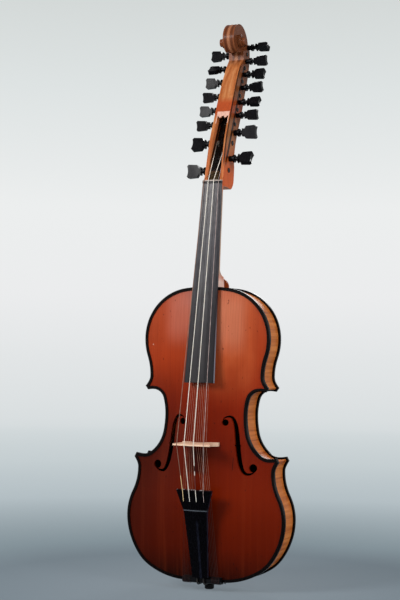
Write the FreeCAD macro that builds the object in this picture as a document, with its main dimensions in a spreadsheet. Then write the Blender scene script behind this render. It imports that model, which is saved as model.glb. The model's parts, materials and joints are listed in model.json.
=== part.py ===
import FreeCAD, Part
import Sketcher
import math
import os
from FreeCAD import Placement, Rotation, Vector

# Viola d'amore, in millimetres.
# Z runs up along the instrument from the flat face of the end button.
# The front plate faces -Y, +X is the treble side, and y = 0 is the middle of the ribs.

DOC = FreeCAD.newDocument("viola_d_amore")

# Driving dimensions

SIZES = [
    ("button_reach", 15.0, "flat face of the end button to the lower rib"),
    ("overhang", 3.0, "plate edge beyond the ribs"),
    ("body_length", 400.0, "front plate, without the neck"),
    ("rib_depth", 34.0, "between the plates"),
    ("rib_wall", 1.3, "thickness of a rib"),
    ("edging_width", 4.4, "black edging, seen from the front"),
    ("edging_thickness", 4.5, "black edging, front to back"),
    ("edging_bevel", 1.2, "bevel of the outer corner of the edging"),
    ("plate_thickness", 3.2, "front and back plate"),
    ("front_arch", 14.0, "rise of the front plate above its edge"),
    ("back_arch", 12.5, "rise of the back plate above its edge"),
    ("upper_bout", 185.0, "widest part of the upper bout"),
    ("upper_bout_share", 0.1775, "from the top edge down to that width, as a share of the length"),
    ("upper_hollow", 168.0, "width just above the upper corners"),
    ("upper_hollow_share", 0.0375, "from the upper corners up to that width, as a share"),
    ("upper_corners", 182.0, "across the tips of the upper corners"),
    ("upper_corner_share", 0.6595, "upper corners above the lower edge, as a share"),
    ("waist", 120.8, "narrowest part"),
    ("waist_share", 0.56625, "waist above the lower edge, as a share"),
    ("lower_corners", 207.6, "across the inner tips of the lower corners"),
    ("lower_corner_share", 0.429, "lower corners above the lower edge, as a share"),
    ("lower_hollow", 202.0, "width just below the lower corners"),
    ("lower_hollow_share", 0.05, "from the lower corners down to that width, as a share"),
    ("lower_bout", 234.0, "widest part of the lower bout"),
    ("lower_bout_share", 0.215, "that width above the lower edge, as a share"),
    ("corner_end", 6.4, "length of the blunt end of a corner"),
    ("lining_width", 2.2, "lining, into the body"),
    ("lining_depth", 7.0, "lining, front to back"),
    ("upper_block_width", 54.0, "block that holds the neck"),
    ("upper_block_depth", 16.0, "along the body"),
    ("lower_block_width", 50.0, "block that holds the end button"),
    ("lower_block_depth", 15.0, "along the body"),
    ("corner_block_reach", 26.0, "corner block, inward from the corner"),
    ("bar_width", 5.5, "bass bar"),
    ("bar_height", 11.0, "bass bar at its middle"),
    ("bar_length", 270.0, "bass bar"),
    ("bar_offset", 19.0, "bass bar from the middle joint"),
    ("post_radius", 3.2, "sound post"),
    ("post_offset", 20.0, "sound post from the middle joint"),
    ("post_drop", 16.0, "sound post below the bridge"),
    ("bridge_share", 0.469, "middle of the bridge above the lower edge, as a share"),
    ("eye_upper", 4.4, "radius of the upper eye of an f-hole"),
    ("eye_lower", 5.6, "radius of the lower eye of an f-hole"),
    ("hole_stem", 7.0, "widest part of the slot of an f-hole"),
    ("hole_length", 77.2, "f-hole, between its furthest bends"),
    ("neck_length", 141.0, "from the upper edge of the body to the foot of the nut"),
    ("board_rise", 271.3, "lower end of the fingerboard below the foot of the nut"),
    ("board_end_width", 43.0, "fingerboard, lower end"),
    ("board_top_width", 27.8, "fingerboard, upper end"),
    ("board_side", 3.4, "height of the side of the fingerboard"),
    ("board_end_crown", 2.4, "crown of the fingerboard, lower end"),
    ("board_top_crown", 1.5, "crown of the fingerboard, upper end"),
    ("board_end_out", 41.0, "underside of the fingerboard in front of y = 0, lower end"),
    ("board_top_out", 5.3, "the same, upper end"),
    ("nut_depth", 4.5, "nut, along the strings"),
    ("nut_height", 5.6, "nut above the underside of the fingerboard"),
    ("nut_crown", 1.3, "curve of the nut from side to middle"),
    ("neck_thickness", 18.5, "neck behind the fingerboard, at the nut"),
    ("heel_width", 29.0, "neck heel at the button"),
    ("button_tab_radius", 14.8, "round tab of the back plate under the heel"),
    ("groove_width", 14.0, "channel in the neck under the fingerboard, at the nut"),
    ("groove_depth", 5.2, "the same"),
    ("low_nut_out", 3.6, "sympathetic strings in front of y = 0, at their nut"),
    ("nut_lane", 1.0, "between the sympathetic strings at their nut"),
    ("head_height", 226.0, "top of the scroll above the nut"),
    ("head_bottom_width", 27.8, "pegbox at the nut"),
    ("head_top_width", 22.0, "pegbox where the scroll begins"),
    ("cheek", 4.4, "wall of the pegbox"),
    ("panel", 3.2, "front wall of the closed part of the pegbox"),
    ("scroll_reach", 33.0, "radius of the scroll where it leaves the pegbox"),
    ("scroll_width", 16.6, "width of the outer turn"),
    ("scroll_eyes", 38.0, "across the two eyes of the scroll"),
    ("eye_radius", 5.4, "eye of the scroll"),
    ("large_peg_radius", 3.9, "playing string peg, at its head"),
    ("small_peg_radius", 3.3, "sympathetic string peg, at its head"),
    ("peg_taper", 0.5, "less radius of a peg in the far cheek"),
    ("peg_bore_clearance", 0.05, "peg in its hole, on the radius"),
    ("peg_tip", 0.8, "peg beyond the far cheek"),
    ("peg_shank", 6.5, "peg between the cheek and its collar"),
    ("peg_collar", 2.4, "length of the collar"),
    ("peg_neck", 4.2, "waist between collar and wing"),
    ("large_wing_length", 21.0, "wing of a playing string peg, along the peg"),
    ("large_wing_width", 19.0, "the same, across"),
    ("large_wing_thickness", 7.0, "the same, through"),
    ("small_wing_length", 19.0, "wing of a sympathetic string peg, along the peg"),
    ("small_wing_width", 15.0, "the same, across"),
    ("small_wing_thickness", 6.2, "the same, through"),
    ("bridge_offset", -1.4, "middle of the bridge from the middle of the body"),
    ("bridge_height", 38.6, "top of the bridge above the feet line"),
    ("bridge_feet", 53.0, "across the feet"),
    ("bridge_foot", 13.0, "length of one foot"),
    ("bridge_top_width", 54.0, "across the top"),
    ("bridge_crown", 6.0, "curve of the top from side to middle"),
    ("bridge_lane", 2.9, "between the sympathetic strings at the bridge"),
    ("lane_clearance", 1.1, "sympathetic strings in front of the edging, under the fingerboard"),
    ("bridge_hole", 0.7, "radius of a hole for a sympathetic string"),
    ("bridge_foot_thickness", 5.2, "along the strings"),
    ("bridge_top_thickness", 1.8, "along the strings"),
    ("tail_low_level", 20.0, "lower end of the tailpiece"),
    ("tail_length", 121.8, "tailpiece"),
    ("tail_low_width", 22.0, "tailpiece, lower end"),
    ("tail_fret_width", 33.4, "tailpiece at its cross line"),
    ("tail_top_width", 52.0, "tailpiece, upper end"),
    ("tail_fan_length", 30.0, "from the cross line to the upper end"),
    ("tail_side", 4.4, "side of the tailpiece"),
    ("tail_crown", 2.2, "middle ridge of the tailpiece"),
    ("tail_under", 28.0, "underside in front of y = 0, lower end"),
    ("tail_lean", 11.2, "degrees, tailpiece from upright"),
    ("saddle_width", 56.0, "saddle along the edge"),
    ("saddle_out", 28.5, "crest of the saddle in front of y = 0"),
    ("saddle_height", 8.0, "saddle, along the body"),
    ("saddle_drop", 1.0, "saddle below the plate edge"),
    ("saddle_round", 4.0, "rounding of the saddle"),
    ("button_radius", 6.5, "end button"),
    ("button_head", 8.0, "length of the end button's head"),
    ("button_neck", 3.6, "radius of the end button's neck"),
    ("gut_radius", 1.1, "tail gut"),
    ("pin_radius", 0.9, "hitch pin"),
    ("playing_radius", 0.45, "playing string"),
    ("treble_radius", 0.32, "highest playing string"),
    ("sympathetic_radius", 0.2, "sympathetic string"),
    ("string_clearance", 0.2, "string from what it passes over"),
    ("winding_clearance", 0.3, "string turns from the shaft they go round"),
]

SHEET = DOC.addObject("Spreadsheet::Sheet", "Sizes")
for row, (alias, number, note) in enumerate(SIZES, start=1):
    SHEET.set("A%d" % row, str(number))
    SHEET.set("B%d" % row, note)
    SHEET.setAlias("A%d" % row, alias)
DOC.recompute()


def size(alias):
    return float(SHEET.get(alias))


def along_body(alias):
    """A height or drop that the sheet gives as a share of the body's length."""
    return size(alias) * size("body_length")


PARTS = []


def keep(item, label):
    item.Label = label
    PARTS.append(item)
    return item


def shape_part(label, shape):
    item = DOC.addObject("Part::Feature", label)
    item.Shape = shape
    return keep(item, label)


# Plane geometry: headings are in degrees, 0 along +X and 90 along +Z

def heading(angle):
    return Vector(math.cos(math.radians(angle)), 0, math.sin(math.radians(angle)))


def arc_from(start, tangent, end):
    """The arc that leaves start along tangent and ends at end, or a straight line."""
    chord = end - start
    if tangent.cross(chord).Length < 1e-6 * chord.Length:
        return Part.makeLine(start, end)
    half = Vector(tangent).normalize() + Vector(chord).normalize()
    half.normalize()
    reach = chord.Length / 2.0 / half.dot(Vector(chord).normalize())
    return Part.Arc(start, start + half * reach, end).toShape()


def biarc(start, tangent_in, end, tangent_out):
    """Two arcs from start to end that touch both tangents."""
    chord = end - start
    both = tangent_in + tangent_out
    bend = 2.0 * (1.0 - tangent_in.dot(tangent_out))
    along = chord.dot(both)
    if bend < 1e-9:
        reach = chord.dot(chord) / (4.0 * chord.dot(tangent_out))
    else:
        reach = (math.sqrt(along * along + bend * chord.dot(chord)) - along) / bend
    middle = (start + tangent_in * reach + end - tangent_out * reach) * 0.5
    first = arc_from(start, tangent_in, middle)
    back = arc_from(end, tangent_out * -1.0, middle)
    return [first, back]


BODY_LOW = size("button_reach") - size("overhang")
BODY_TOP = BODY_LOW + size("body_length")
BRIDGE_LEVEL = BODY_LOW + along_body("bridge_share")
BOARD_TOP = BODY_TOP + size("neck_length")
BOARD_END = BOARD_TOP - size("board_rise")
NUT_TOP = BOARD_TOP + size("nut_depth")
RIB_FACE = size("rib_depth") / 2.0
EDGE_FACE = RIB_FACE + size("edging_thickness")
PLATE_FACE = RIB_FACE + size("plate_thickness")


def outline_stations():
    """Half outline of the plates, from the top joint to the lower joint, in three bouts.
    Each station is half-width, level and heading of travel."""
    up = BODY_LOW + along_body("upper_corner_share")
    down = BODY_LOW + along_body("lower_corner_share")
    upper_tip = size("upper_corners") / 2.0
    lower_tip = size("lower_corners") / 2.0
    end = size("corner_end")
    upper_end = Vector(upper_tip, 0, up) + heading(-126) * end
    lower_end = Vector(lower_tip, 0, down) + heading(-62) * end
    waist = size("waist") / 2.0
    upper_half = size("upper_bout") / 2.0
    lower_half = size("lower_bout") / 2.0
    upper = [
        (0, BODY_TOP, 0),
        (upper_half - 31.4, BODY_TOP - 13.0, -33),
        (upper_half, BODY_TOP - along_body("upper_bout_share"), -90),
        (size("upper_hollow") / 2.0, up + along_body("upper_hollow_share"), -90),
        (upper_tip, up, -48),
    ]
    middle = [
        (upper_end.x, upper_end.z, 170),
        (upper_end.x - 10.0, upper_end.z + 0.6, 184),
        (waist, BODY_LOW + along_body("waist_share"), 270),
        (waist + 13.0, down + 9.5, 311),
        (lower_tip - 11.8, down - 1.4, 360),
        (lower_tip, down, 372),
    ]
    lower = [
        (lower_end.x, lower_end.z, -122),
        (size("lower_hollow") / 2.0, down - along_body("lower_hollow_share"), -90),
        (lower_half, BODY_LOW + along_body("lower_bout_share"), -90),
        (lower_half - 19.0, BODY_LOW + 31.0, -127),
        (lower_half - 50.7, BODY_LOW + 8.7, -158),
        (0, BODY_LOW, -180),
    ]
    return upper, middle, lower


def outline_wire():
    """The whole outline of the plates as one closed wire of arcs."""
    right = []
    last = None
    for bout in outline_stations():
        points = [(Vector(x, 0, z), heading(angle)) for x, z, angle in bout]
        if last is not None:
            right.append(Part.makeLine(last, points[0][0]))
        for (start, tangent), (end, tangent_out) in zip(points, points[1:]):
            right.extend(biarc(start, tangent, end, tangent_out))
        last = points[-1][0]
    left = [edge.mirror(Vector(), Vector(1, 0, 0)) for edge in right]
    return Part.Wire(Part.__sortEdges__(right + left))


OUTLINE = outline_wire()


def inset(distance):
    """The outline moved inward, as a face in the plane y = 0."""
    wire = OUTLINE
    if distance > 0:
        wire = OUTLINE.makeOffset2D(-distance, 2)
    return Part.Face(wire)


def prism(face, front, back):
    """A face of the plane y = 0, made solid from y = front to y = back."""
    lifted = face.copy()
    lifted.translate(Vector(0, front, 0))
    return lifted.extrude(Vector(0, back - front, 0))


def ring(outer, inner, front, back):
    return prism(inset(outer), front, back).cut(prism(inset(inner), front - 1.0, back + 1.0))


def polygon_face(points):
    """A face in the plane y = 0 from (x, z) corners."""
    corners = [Vector(x, 0, z) for x, z in points]
    return Part.Face(Part.makePolygon(corners + corners[:1]))


def side_prism(points, left, right):
    """A solid with (y, z) corners, from x = left to x = right."""
    corners = [Vector(left, y, z) for y, z in points]
    return Part.Face(Part.makePolygon(corners + corners[:1])).extrude(Vector(right - left, 0, 0))


# Arching: the rise of a plate at any place, 0 at the edge and 1 at the middle

def half_width(level):
    """Half-width of the arched field at a level above the lower edge, corners left out."""
    length = size("body_length")
    low = along_body("lower_bout_share")
    waist = along_body("waist_share")
    high = length - along_body("upper_bout_share")
    lower = size("lower_bout") / 2.0
    middle = size("waist") / 2.0
    upper = size("upper_bout") / 2.0
    fullness = 2.3
    if level <= 0 or level >= length:
        return 0.0
    if level < low:
        return lower * (1 - ((low - level) / low) ** fullness) ** (1 / fullness)
    if level < waist:
        blend = 0.5 + 0.5 * math.cos(math.pi * (level - low) / (waist - low))
        return middle + (lower - middle) * blend
    if level < high:
        blend = 0.5 - 0.5 * math.cos(math.pi * (level - waist) / (high - waist))
        return middle + (upper - middle) * blend
    drop = along_body("upper_bout_share")
    return upper * (1 - ((level - high) / drop) ** fullness) ** (1 / fullness)


def arch(x, z):
    level = z - BODY_LOW
    half = half_width(level) - size("edging_width")
    if half <= abs(x):
        return 0.0
    across = math.cos(math.pi / 2.0 * abs(x) / half) ** 2
    along = math.sin(math.pi * level / size("body_length")) ** 0.8
    return along * across


def arch_surface(edge_y, rise):
    """Arched surface that lies at edge_y outside the arch and rises by rise towards it."""
    columns = 19
    rows = 25
    reach = size("lower_bout") / 2.0 + size("overhang")
    grid = []
    for i in range(columns):
        x = -reach + 2.0 * reach * i / (columns - 1)
        line = []
        for j in range(rows):
            z = BODY_LOW - size("overhang") + (size("body_length") + 2 * size("overhang")) * j / (rows - 1)
            line.append(Vector(x, edge_y + rise * arch(x, z), z))
        grid.append(line)
    surface = Part.BSplineSurface()
    surface.interpolate(grid)
    return surface.toShape()


RIPPLE = 0.02
FRONT_INNER = arch_surface(-RIB_FACE - RIPPLE, -size("front_arch"))
BACK_INNER = arch_surface(RIB_FACE + RIPPLE, size("back_arch"))


# f-holes

def f_hole(side):
    """Cutter for one f-hole; side is -1 on the bass side and 1 on the treble side."""
    level = BRIDGE_LEVEL
    unit = size("hole_length") / 77.2
    stem = size("hole_stem") / 2.0 / unit
    middle = [
        (28.4, 32.4, 0.5), (33.2, 37.0, 1.1), (38.8, 37.0, 1.8), (43.8, 30.0, 2.6),
        (46.8, 16.0, stem - 0.2), (48.8, -1.4, stem), (51.4, -18.0, stem - 0.2),
        (55.4, -32.0, 2.8), (61.0, -38.6, 2.0), (67.5, -38.6, 1.3), (73.6, -34.2, 0.6),
    ]
    spine = [Vector(x * unit * side, 0, level + z * unit) for x, z, half in middle]
    left = []
    right = []
    for index, (x, z, half) in enumerate(middle):
        ahead = spine[min(index + 1, len(spine) - 1)]
        behind = spine[max(index - 1, 0)]
        along = (ahead - behind).normalize()
        across = Vector(-along.z, 0, along.x)
        left.append(spine[index] + across * half * unit)
        right.append(spine[index] - across * half * unit)
    edges = []
    for row in (left, right):
        curve = Part.BSplineCurve()
        curve.interpolate(row)
        edges.append(curve.toShape())
    edges.append(Part.makeLine(left[0], right[0]))
    edges.append(Part.makeLine(left[-1], right[-1]))
    slot = Part.Face(Part.Wire(Part.__sortEdges__(edges)))
    deep = EDGE_FACE + 2 * size("front_arch")
    cutter = prism(slot, -deep, 0)
    eyes = ((31.4, 29.4, size("eye_upper")), (70.6, -30.8, size("eye_lower")))
    for x, z, radius in eyes:
        centre = Vector(x * unit * side, -deep, level + z * unit)
        eye = Part.makeCylinder(radius, deep, centre, Vector(0, 1, 0))
        cutter = cutter.fuse(eye)
    nick_x, nick_z, nick_half = middle[5]
    centre = nick_x * unit * side
    reach = (nick_half + 1.9) * unit
    nicks = polygon_face([(centre - reach, level + nick_z * unit), (centre, level + (nick_z + 3.0) * unit),
                          (centre + reach, level + nick_z * unit), (centre, level + (nick_z - 3.0) * unit)])
    return cutter.fuse(prism(nicks, -deep, 0))


# Sound box

def saddle_seat():
    half = size("saddle_width") / 2.0
    low = BODY_LOW - size("saddle_drop") - 5.0
    return Part.makeBox(2 * half, EDGE_FACE, size("saddle_height") + 5.0 + size("saddle_drop"),
                        Vector(-half, -RIB_FACE - EDGE_FACE, low))


def button_tab(front, back, clearance=0.0):
    radius = size("button_tab_radius") + clearance
    centre = BODY_TOP - 0.5
    low = BODY_TOP - size("edging_width") - 3.0
    tab = Part.makeCylinder(radius, back - front, Vector(0, front, centre), Vector(0, 1, 0))
    foot = Part.makeBox(2 * radius, back - front, centre - low, Vector(-radius, front, low))
    upper = Part.makeBox(4 * radius, back - front, 2 * radius, Vector(-2 * radius, front, low))
    return tab.fuse(foot).common(upper)


def plate_blank(inner, direction):
    """Arched plate inside its edging, kept out of the space between the rib edges."""
    slab = inner.extrude(Vector(0, direction * size("plate_thickness"), 0))
    slab = slab.cut(prism(inset(0), -RIB_FACE, RIB_FACE))
    deep = EDGE_FACE + 30.0
    field = prism(inset(size("edging_width")), min(0, direction * deep), max(0, direction * deep))
    return slab.common(field)


def edging(direction):
    near = RIB_FACE if direction > 0 else -EDGE_FACE
    far = near + size("edging_thickness")
    band = ring(0, size("edging_width"), near, far)
    outer_y = EDGE_FACE * direction
    corners = []
    for edge in band.Edges:
        middle = edge.valueAt((edge.FirstParameter + edge.LastParameter) / 2.0)
        flat = abs(middle.y - outer_y) < 1e-4 and abs(edge.Vertexes[0].Y - outer_y) < 1e-4
        if flat and OUTLINE.distToShape(Part.Vertex(middle.x, 0, middle.z))[0] < 1e-3:
            corners.append(edge)
    return band.makeChamfer(size("edging_bevel"), corners)


front_blank = plate_blank(FRONT_INNER, -1)
for side in (-1, 1):
    front_blank = front_blank.cut(f_hole(side))
front_blank = front_blank.cut(saddle_seat())
shape_part("front_plate", front_blank)

back_blank = plate_blank(BACK_INNER, 1)
shape_part("back_plate", back_blank.fuse(button_tab(RIB_FACE, EDGE_FACE - 0.3)).removeSplitter())
shape_part("front_edging", edging(-1).cut(saddle_seat()))
shape_part("back_edging", edging(1).cut(button_tab(RIB_FACE - 1, EDGE_FACE + 1)))


def corner_lines():
    """For each pair of corners: a point on the ridge inside the body and its tip, x > 0."""
    upper, middle, lower = outline_stations()
    upper_tip = (Vector(upper[-1][0], 0, upper[-1][1]) + Vector(middle[0][0], 0, middle[0][1])) * 0.5
    lower_tip = (Vector(middle[-1][0], 0, middle[-1][1]) + Vector(lower[0][0], 0, lower[0][1])) * 0.5
    return (upper_tip, heading(-36)), (lower_tip, heading(28))


(UPPER_TIP, UPPER_RIDGE), (LOWER_TIP, LOWER_RIDGE) = corner_lines()


def bout_zone(which, side):
    """Region of the plane that one rib lies in."""
    far = size("lower_bout")
    upper_in = UPPER_TIP - UPPER_RIDGE * 40.0
    upper_out = UPPER_TIP + UPPER_RIDGE * 10.0
    lower_in = LOWER_TIP - LOWER_RIDGE * 40.0
    lower_out = LOWER_TIP + LOWER_RIDGE * 10.0
    upper_line = [(0, upper_in.z), (upper_in.x, upper_in.z), (upper_out.x, upper_out.z), (far, upper_out.z)]
    lower_line = [(0, lower_in.z), (lower_in.x, lower_in.z), (lower_out.x, lower_out.z), (far, lower_out.z)]
    if which == "upper":
        points = upper_line + [(far, BODY_TOP + 50), (0, BODY_TOP + 50)]
    elif which == "middle":
        points = upper_line + lower_line[::-1]
    else:
        points = lower_line + [(far, BODY_LOW - 50), (0, BODY_LOW - 50)]
    return polygon_face([(x * side, z) for x, z in points])


INSIDE = size("overhang") + size("rib_wall")
BUTTON_BORE = Part.makeCylinder(size("button_neck"), 2 * BODY_LOW + size("lower_block_depth"))
rib_ring = ring(size("overhang"), INSIDE, -RIB_FACE, RIB_FACE)
for side, side_name in ((-1, "left"), (1, "right")):
    for bout in ("upper", "middle", "lower"):
        zone = prism(bout_zone(bout, side), -RIB_FACE - 1, RIB_FACE + 1)
        shape_part("%s_rib_%s" % (bout, side_name), rib_ring.common(zone).cut(BUTTON_BORE))


def block_between_plates(face):
    return prism(face, -RIB_FACE, RIB_FACE).common(prism(inset(INSIDE), -RIB_FACE, RIB_FACE))


def end_block(width, depth, level):
    half = width / 2.0
    return block_between_plates(polygon_face([(-half, level - depth), (half, level - depth),
                                              (half, level + depth), (-half, level + depth)]))


upper_block = end_block(size("upper_block_width"), size("upper_block_depth"), BODY_TOP - INSIDE)
lower_block = end_block(size("lower_block_width"), size("lower_block_depth"), BODY_LOW + INSIDE).cut(BUTTON_BORE)
shape_part("upper_block", upper_block)
shape_part("lower_block", lower_block)


def corner_block(tip, ridge, side):
    across = Vector(-ridge.z, 0, ridge.x)
    root = tip - ridge * size("corner_block_reach")
    points = [tip + across * 9, tip - across * 9, root - across * 12, root + across * 12]
    return block_between_plates(polygon_face([(p.x * side, p.z) for p in points]))


corner_blocks = []
for tip, ridge in ((UPPER_TIP, UPPER_RIDGE), (LOWER_TIP, LOWER_RIDGE)):
    for side in (-1, 1):
        corner_blocks.append(corner_block(tip, ridge, side))
shape_part("corner_blocks", Part.makeCompound(corner_blocks))

lining_pieces = []
for near, far in ((-RIB_FACE, -RIB_FACE + size("lining_depth")), (RIB_FACE - size("lining_depth"), RIB_FACE)):
    strip = ring(INSIDE, INSIDE + size("lining_width"), near, far)
    for block in [upper_block, lower_block] + corner_blocks:
        strip = strip.cut(block)
    lining_pieces.extend(strip.Solids)
shape_part("linings", Part.makeCompound(lining_pieces))


def bass_bar():
    level = BRIDGE_LEVEL
    half = size("bar_length") / 2.0
    width = size("bar_width")
    inner = -RIB_FACE - size("front_arch")
    bottom = inner + size("bar_height")
    ends = [Vector(0, inner - 5.0, level + half), Vector(0, inner - 5.0, level - half)]
    low = Vector(0, inner + 7.0, level - half)
    high = Vector(0, inner + 7.0, level + half)
    curve = Part.Arc(low, Vector(0, bottom + 2.0, level), high).toShape()
    wire = Part.Wire([Part.makeLine(ends[0], ends[1]), Part.makeLine(ends[1], low), curve,
                      Part.makeLine(high, ends[0])])
    bar = Part.Face(wire).extrude(Vector(width, 0, 0))
    bar.translate(Vector(-size("bar_offset") - width / 2.0, 0, 0))
    return bar.cut(FRONT_INNER.extrude(Vector(0, -2 * size("front_arch"), 0)))


shape_part("bass_bar", bass_bar())


def sound_post():
    start = Vector(size("post_offset"), -EDGE_FACE - 30, BRIDGE_LEVEL - size("post_drop"))
    post = Part.makeCylinder(size("post_radius"), 2 * (EDGE_FACE + 30), start, Vector(0, 1, 0))
    post = post.cut(FRONT_INNER.extrude(Vector(0, -60, 0)))
    return post.cut(BACK_INNER.extrude(Vector(0, 60, 0)))


shape_part("sound_post", sound_post())


# Neck and head, one carved piece

BOARD_FALL = (size("board_end_out") - size("board_top_out")) / size("board_rise")


def board_underside(level):
    """y of the plane that the fingerboard is glued to."""
    return -size("board_top_out") - BOARD_FALL * (BOARD_TOP - level)


def board_half(level):
    """Half-width of the fingerboard and of the neck under it."""
    spread = (size("board_end_width") - size("board_top_width")) / size("board_rise")
    return (size("board_top_width") + spread * max(BOARD_TOP - level, 0.0)) / 2.0


def neck_section(level, back, back_half):
    """Cross-section of neck or heel: flat under the fingerboard, sides drawn in to a round back."""
    front = board_underside(level)
    half = board_half(level)
    shoulder = front + 3.0
    turn = back - 0.44 * (back - shoulder)
    points = [Vector(-half, front, level), Vector(-half, shoulder, level), Vector(-back_half, turn, level),
              Vector(back_half, turn, level), Vector(half, shoulder, level), Vector(half, front, level)]
    round_back = Part.Arc(points[2], Vector(0, back, level), points[3]).toShape()
    sides = [Part.makeLine(points[0], points[1]), Part.makeLine(points[1], points[2]), round_back,
             Part.makeLine(points[3], points[4]), Part.makeLine(points[4], points[5]),
             Part.makeLine(points[5], points[0])]
    return Part.Wire(sides)


def neck():
    """Neck from the nut down to the heel, whose foot stands on the round tab of the back plate."""
    thick = size("neck_thickness")
    foot = size("heel_width") / 2.0
    tab_top = BODY_TOP - 0.5 + size("button_tab_radius")
    slim = 0.62
    shaft = [neck_section(level, board_underside(level) + thick + extra, slim * board_half(level))
             for level, extra in ((NUT_TOP, 0.0), (tab_top + 34.0, 2.0))]
    curve = [shaft[-1]]
    for above, back, half in ((16.0, 1.2, 0.74), (8.0, 1.5, 0.73), (3.6, 5.0, 0.73), (1.3, 11.0, 0.75),
                              (0.2, RIB_FACE, 0.78)):
        curve.append(neck_section(tab_top + above, back, half * foot))
    base = [curve[-1], neck_section(BODY_TOP - 12.0, RIB_FACE + 0.5, foot)]
    solid = Part.makeLoft(shaft, True, True)
    solid = solid.fuse(Part.makeLoft(curve, True, False))
    return solid.fuse(Part.makeLoft(base, True, True))


# Front and back lines of the head, seen from the side: y, and height above the nut

HEAD = size("head_height") / 226.0
HEAD_FRONT = [(-4.6, 0.0), (1.6, 23.2), (8.4, 50.4), (15.0, 69.5), (22.9, 87.5), (31.0, 106.5),
              (45.5, 137.5), (61.0, 165.5), (70.0, 177.5)]
HEAD_BACK = [(36.0, 21.5), (40.5, 54.5), (52.0, 79.1), (61.0, 96.5), (73.0, 125.0), (84.0, 150.0),
             (91.0, 171.5), (93.3, 189.5)]
TAPER_HEIGHT = 184.5
PANEL_HEIGHT = 92.5
SCROLL_BACK = 59.3 * HEAD
SCROLL_LEVEL = NUT_TOP + 201.1 * HEAD


def head_place(y, height, x=0.0):
    return Vector(x, y * HEAD, NUT_TOP + height * HEAD)


def head_curve(points, x):
    curve = Part.BSplineCurve()
    curve.interpolate([head_place(y, height, x) for y, height in points])
    return curve.toShape()


def head_width(level):
    low = size("head_bottom_width")
    high = size("head_top_width")
    return low + (high - low) * (level - NUT_TOP) / (TAPER_HEIGHT * HEAD)


def taper_block(inset_by):
    """Space between the two cheeks, less inset_by on each side, for every depth."""
    low_level = NUT_TOP - 60.0
    high_level = NUT_TOP + 250.0 * HEAD
    low = head_width(low_level) / 2.0 - inset_by
    high = head_width(high_level) / 2.0 - inset_by
    face = polygon_face([(-low, low_level), (low, low_level), (high, high_level), (-high, high_level)])
    return prism(face, -60.0, 200.0)


def head_prism(points, reach):
    """A solid with head places as corners, from x = -reach to x = reach."""
    corners = [head_place(y, height) for y, height in points]
    return side_prism([(spot.y, spot.z) for spot in corners], -reach, reach)


def pegbox():
    """Outside of the pegbox with its rounded chin behind the nut."""
    half = 20.0 * HEAD
    chin_top = head_place(34.0, 4.5, -half)
    chin_low = head_place(24.0, -10.0, -half)
    chin_root = head_place(8.0, -8.0, -half)
    back_low = head_place(*HEAD_BACK[0], -half)
    back_top = head_place(*HEAD_BACK[-1], -half)
    back_high = Vector(-half, SCROLL_BACK + size("scroll_reach"), SCROLL_LEVEL + 2.0)
    front_top = head_place(*HEAD_FRONT[-1], -half)
    front_high = head_place(70.0, 194.5, -half)
    front_low = head_place(*HEAD_FRONT[0], -half)
    front_root = Vector(-half, front_low.y, chin_root.z)
    edges = [
        head_curve(HEAD_FRONT, -half),
        Part.makeLine(front_top, front_high),
        Part.makeLine(front_high, back_high),
        Part.makeLine(back_high, back_top),
        head_curve(HEAD_BACK, -half),
        Part.makeLine(chin_top, back_low),
        arc_from(chin_top, Vector(0, -0.12, -1.0), chin_low),
        Part.makeLine(chin_low, chin_root),
        Part.makeLine(chin_root, front_root),
        Part.makeLine(front_root, front_low),
    ]
    solid = Part.Face(Part.Wire(Part.__sortEdges__(edges))).extrude(Vector(2 * half, 0, 0))
    return solid.common(taper_block(0.0))


def pegbox_hollow():
    """Inside of the pegbox: open to the front below the panel and to the back above it."""
    panel = size("panel") / HEAD
    front = [(y + panel, height) for y, height in HEAD_FRONT[5:8]]
    points = [(-20.0, 0.8), (-20.0, PANEL_HEIGHT), (25.0 + panel, PANEL_HEIGHT)] + front
    points += [(72.5, 179.5), (76.5, 190.5), (79.5, 202.5), (89.3, 202.5), (89.3, 190.5), (110.0, 190.5),
               (110.0, 106.5), (59.5, 106.5), (47.0, 79.1), (35.6, 54.5), (31.0, 19.5), (27.0, 0.8)]
    return head_prism(points, 20.0 * HEAD).common(taper_block(size("cheek")))


def cusped_edge():
    """The lower edge of the panel: three points hanging down between two rounds."""
    level = NUT_TOP + PANEL_HEIGHT * HEAD
    half = head_width(level) / 2.0 - size("cheek")
    points = [(-half - 1, level + 5.0), (-half - 1, level + 0.5), (-half, level + 0.5),
              (-half * 0.45, level - 3.0), (0.0, level + 1.6), (half * 0.45, level - 3.0),
              (half, level + 0.5), (half + 1, level + 0.5), (half + 1, level + 5.0)]
    return polygon_face(points)


def panel_lip():
    lip = prism(cusped_edge(), 0.0, 80.0 * HEAD)
    thick = size("panel") / HEAD
    front = [(20.7, 82.5), (31.0, 106.5), (31.0 + thick, 106.5), (20.7 + thick, 82.5)]
    return lip.common(head_prism(front, 15.0 * HEAD))


def spiral_radius(turn):
    """Radius of the scroll after a turn in degrees."""
    small = size("eye_radius") - 0.4
    return small + (size("scroll_reach") - small) * math.exp(-turn / 260.0)


def spiral_half_width(turn):
    outer = size("scroll_width") / 2.0
    eyes = size("scroll_eyes") / 2.0
    share = max(turn - 180.0, 0.0) / 540.0
    return outer + (eyes - outer) * share ** 1.25 * 0.86


def scroll_section(turn):
    centre = Vector(0, SCROLL_BACK, SCROLL_LEVEL)
    out = Vector(0, math.cos(math.radians(turn)), math.sin(math.radians(turn)))
    outer = centre + out * spiral_radius(turn)
    inner = centre + out * max(spiral_radius(turn + 360.0) - 1.2, 1.0)
    half = Vector(spiral_half_width(turn), 0, 0)
    corners = [outer - half, outer + half, inner + half, inner - half]
    return Part.makePolygon(corners + corners[:1])


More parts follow.
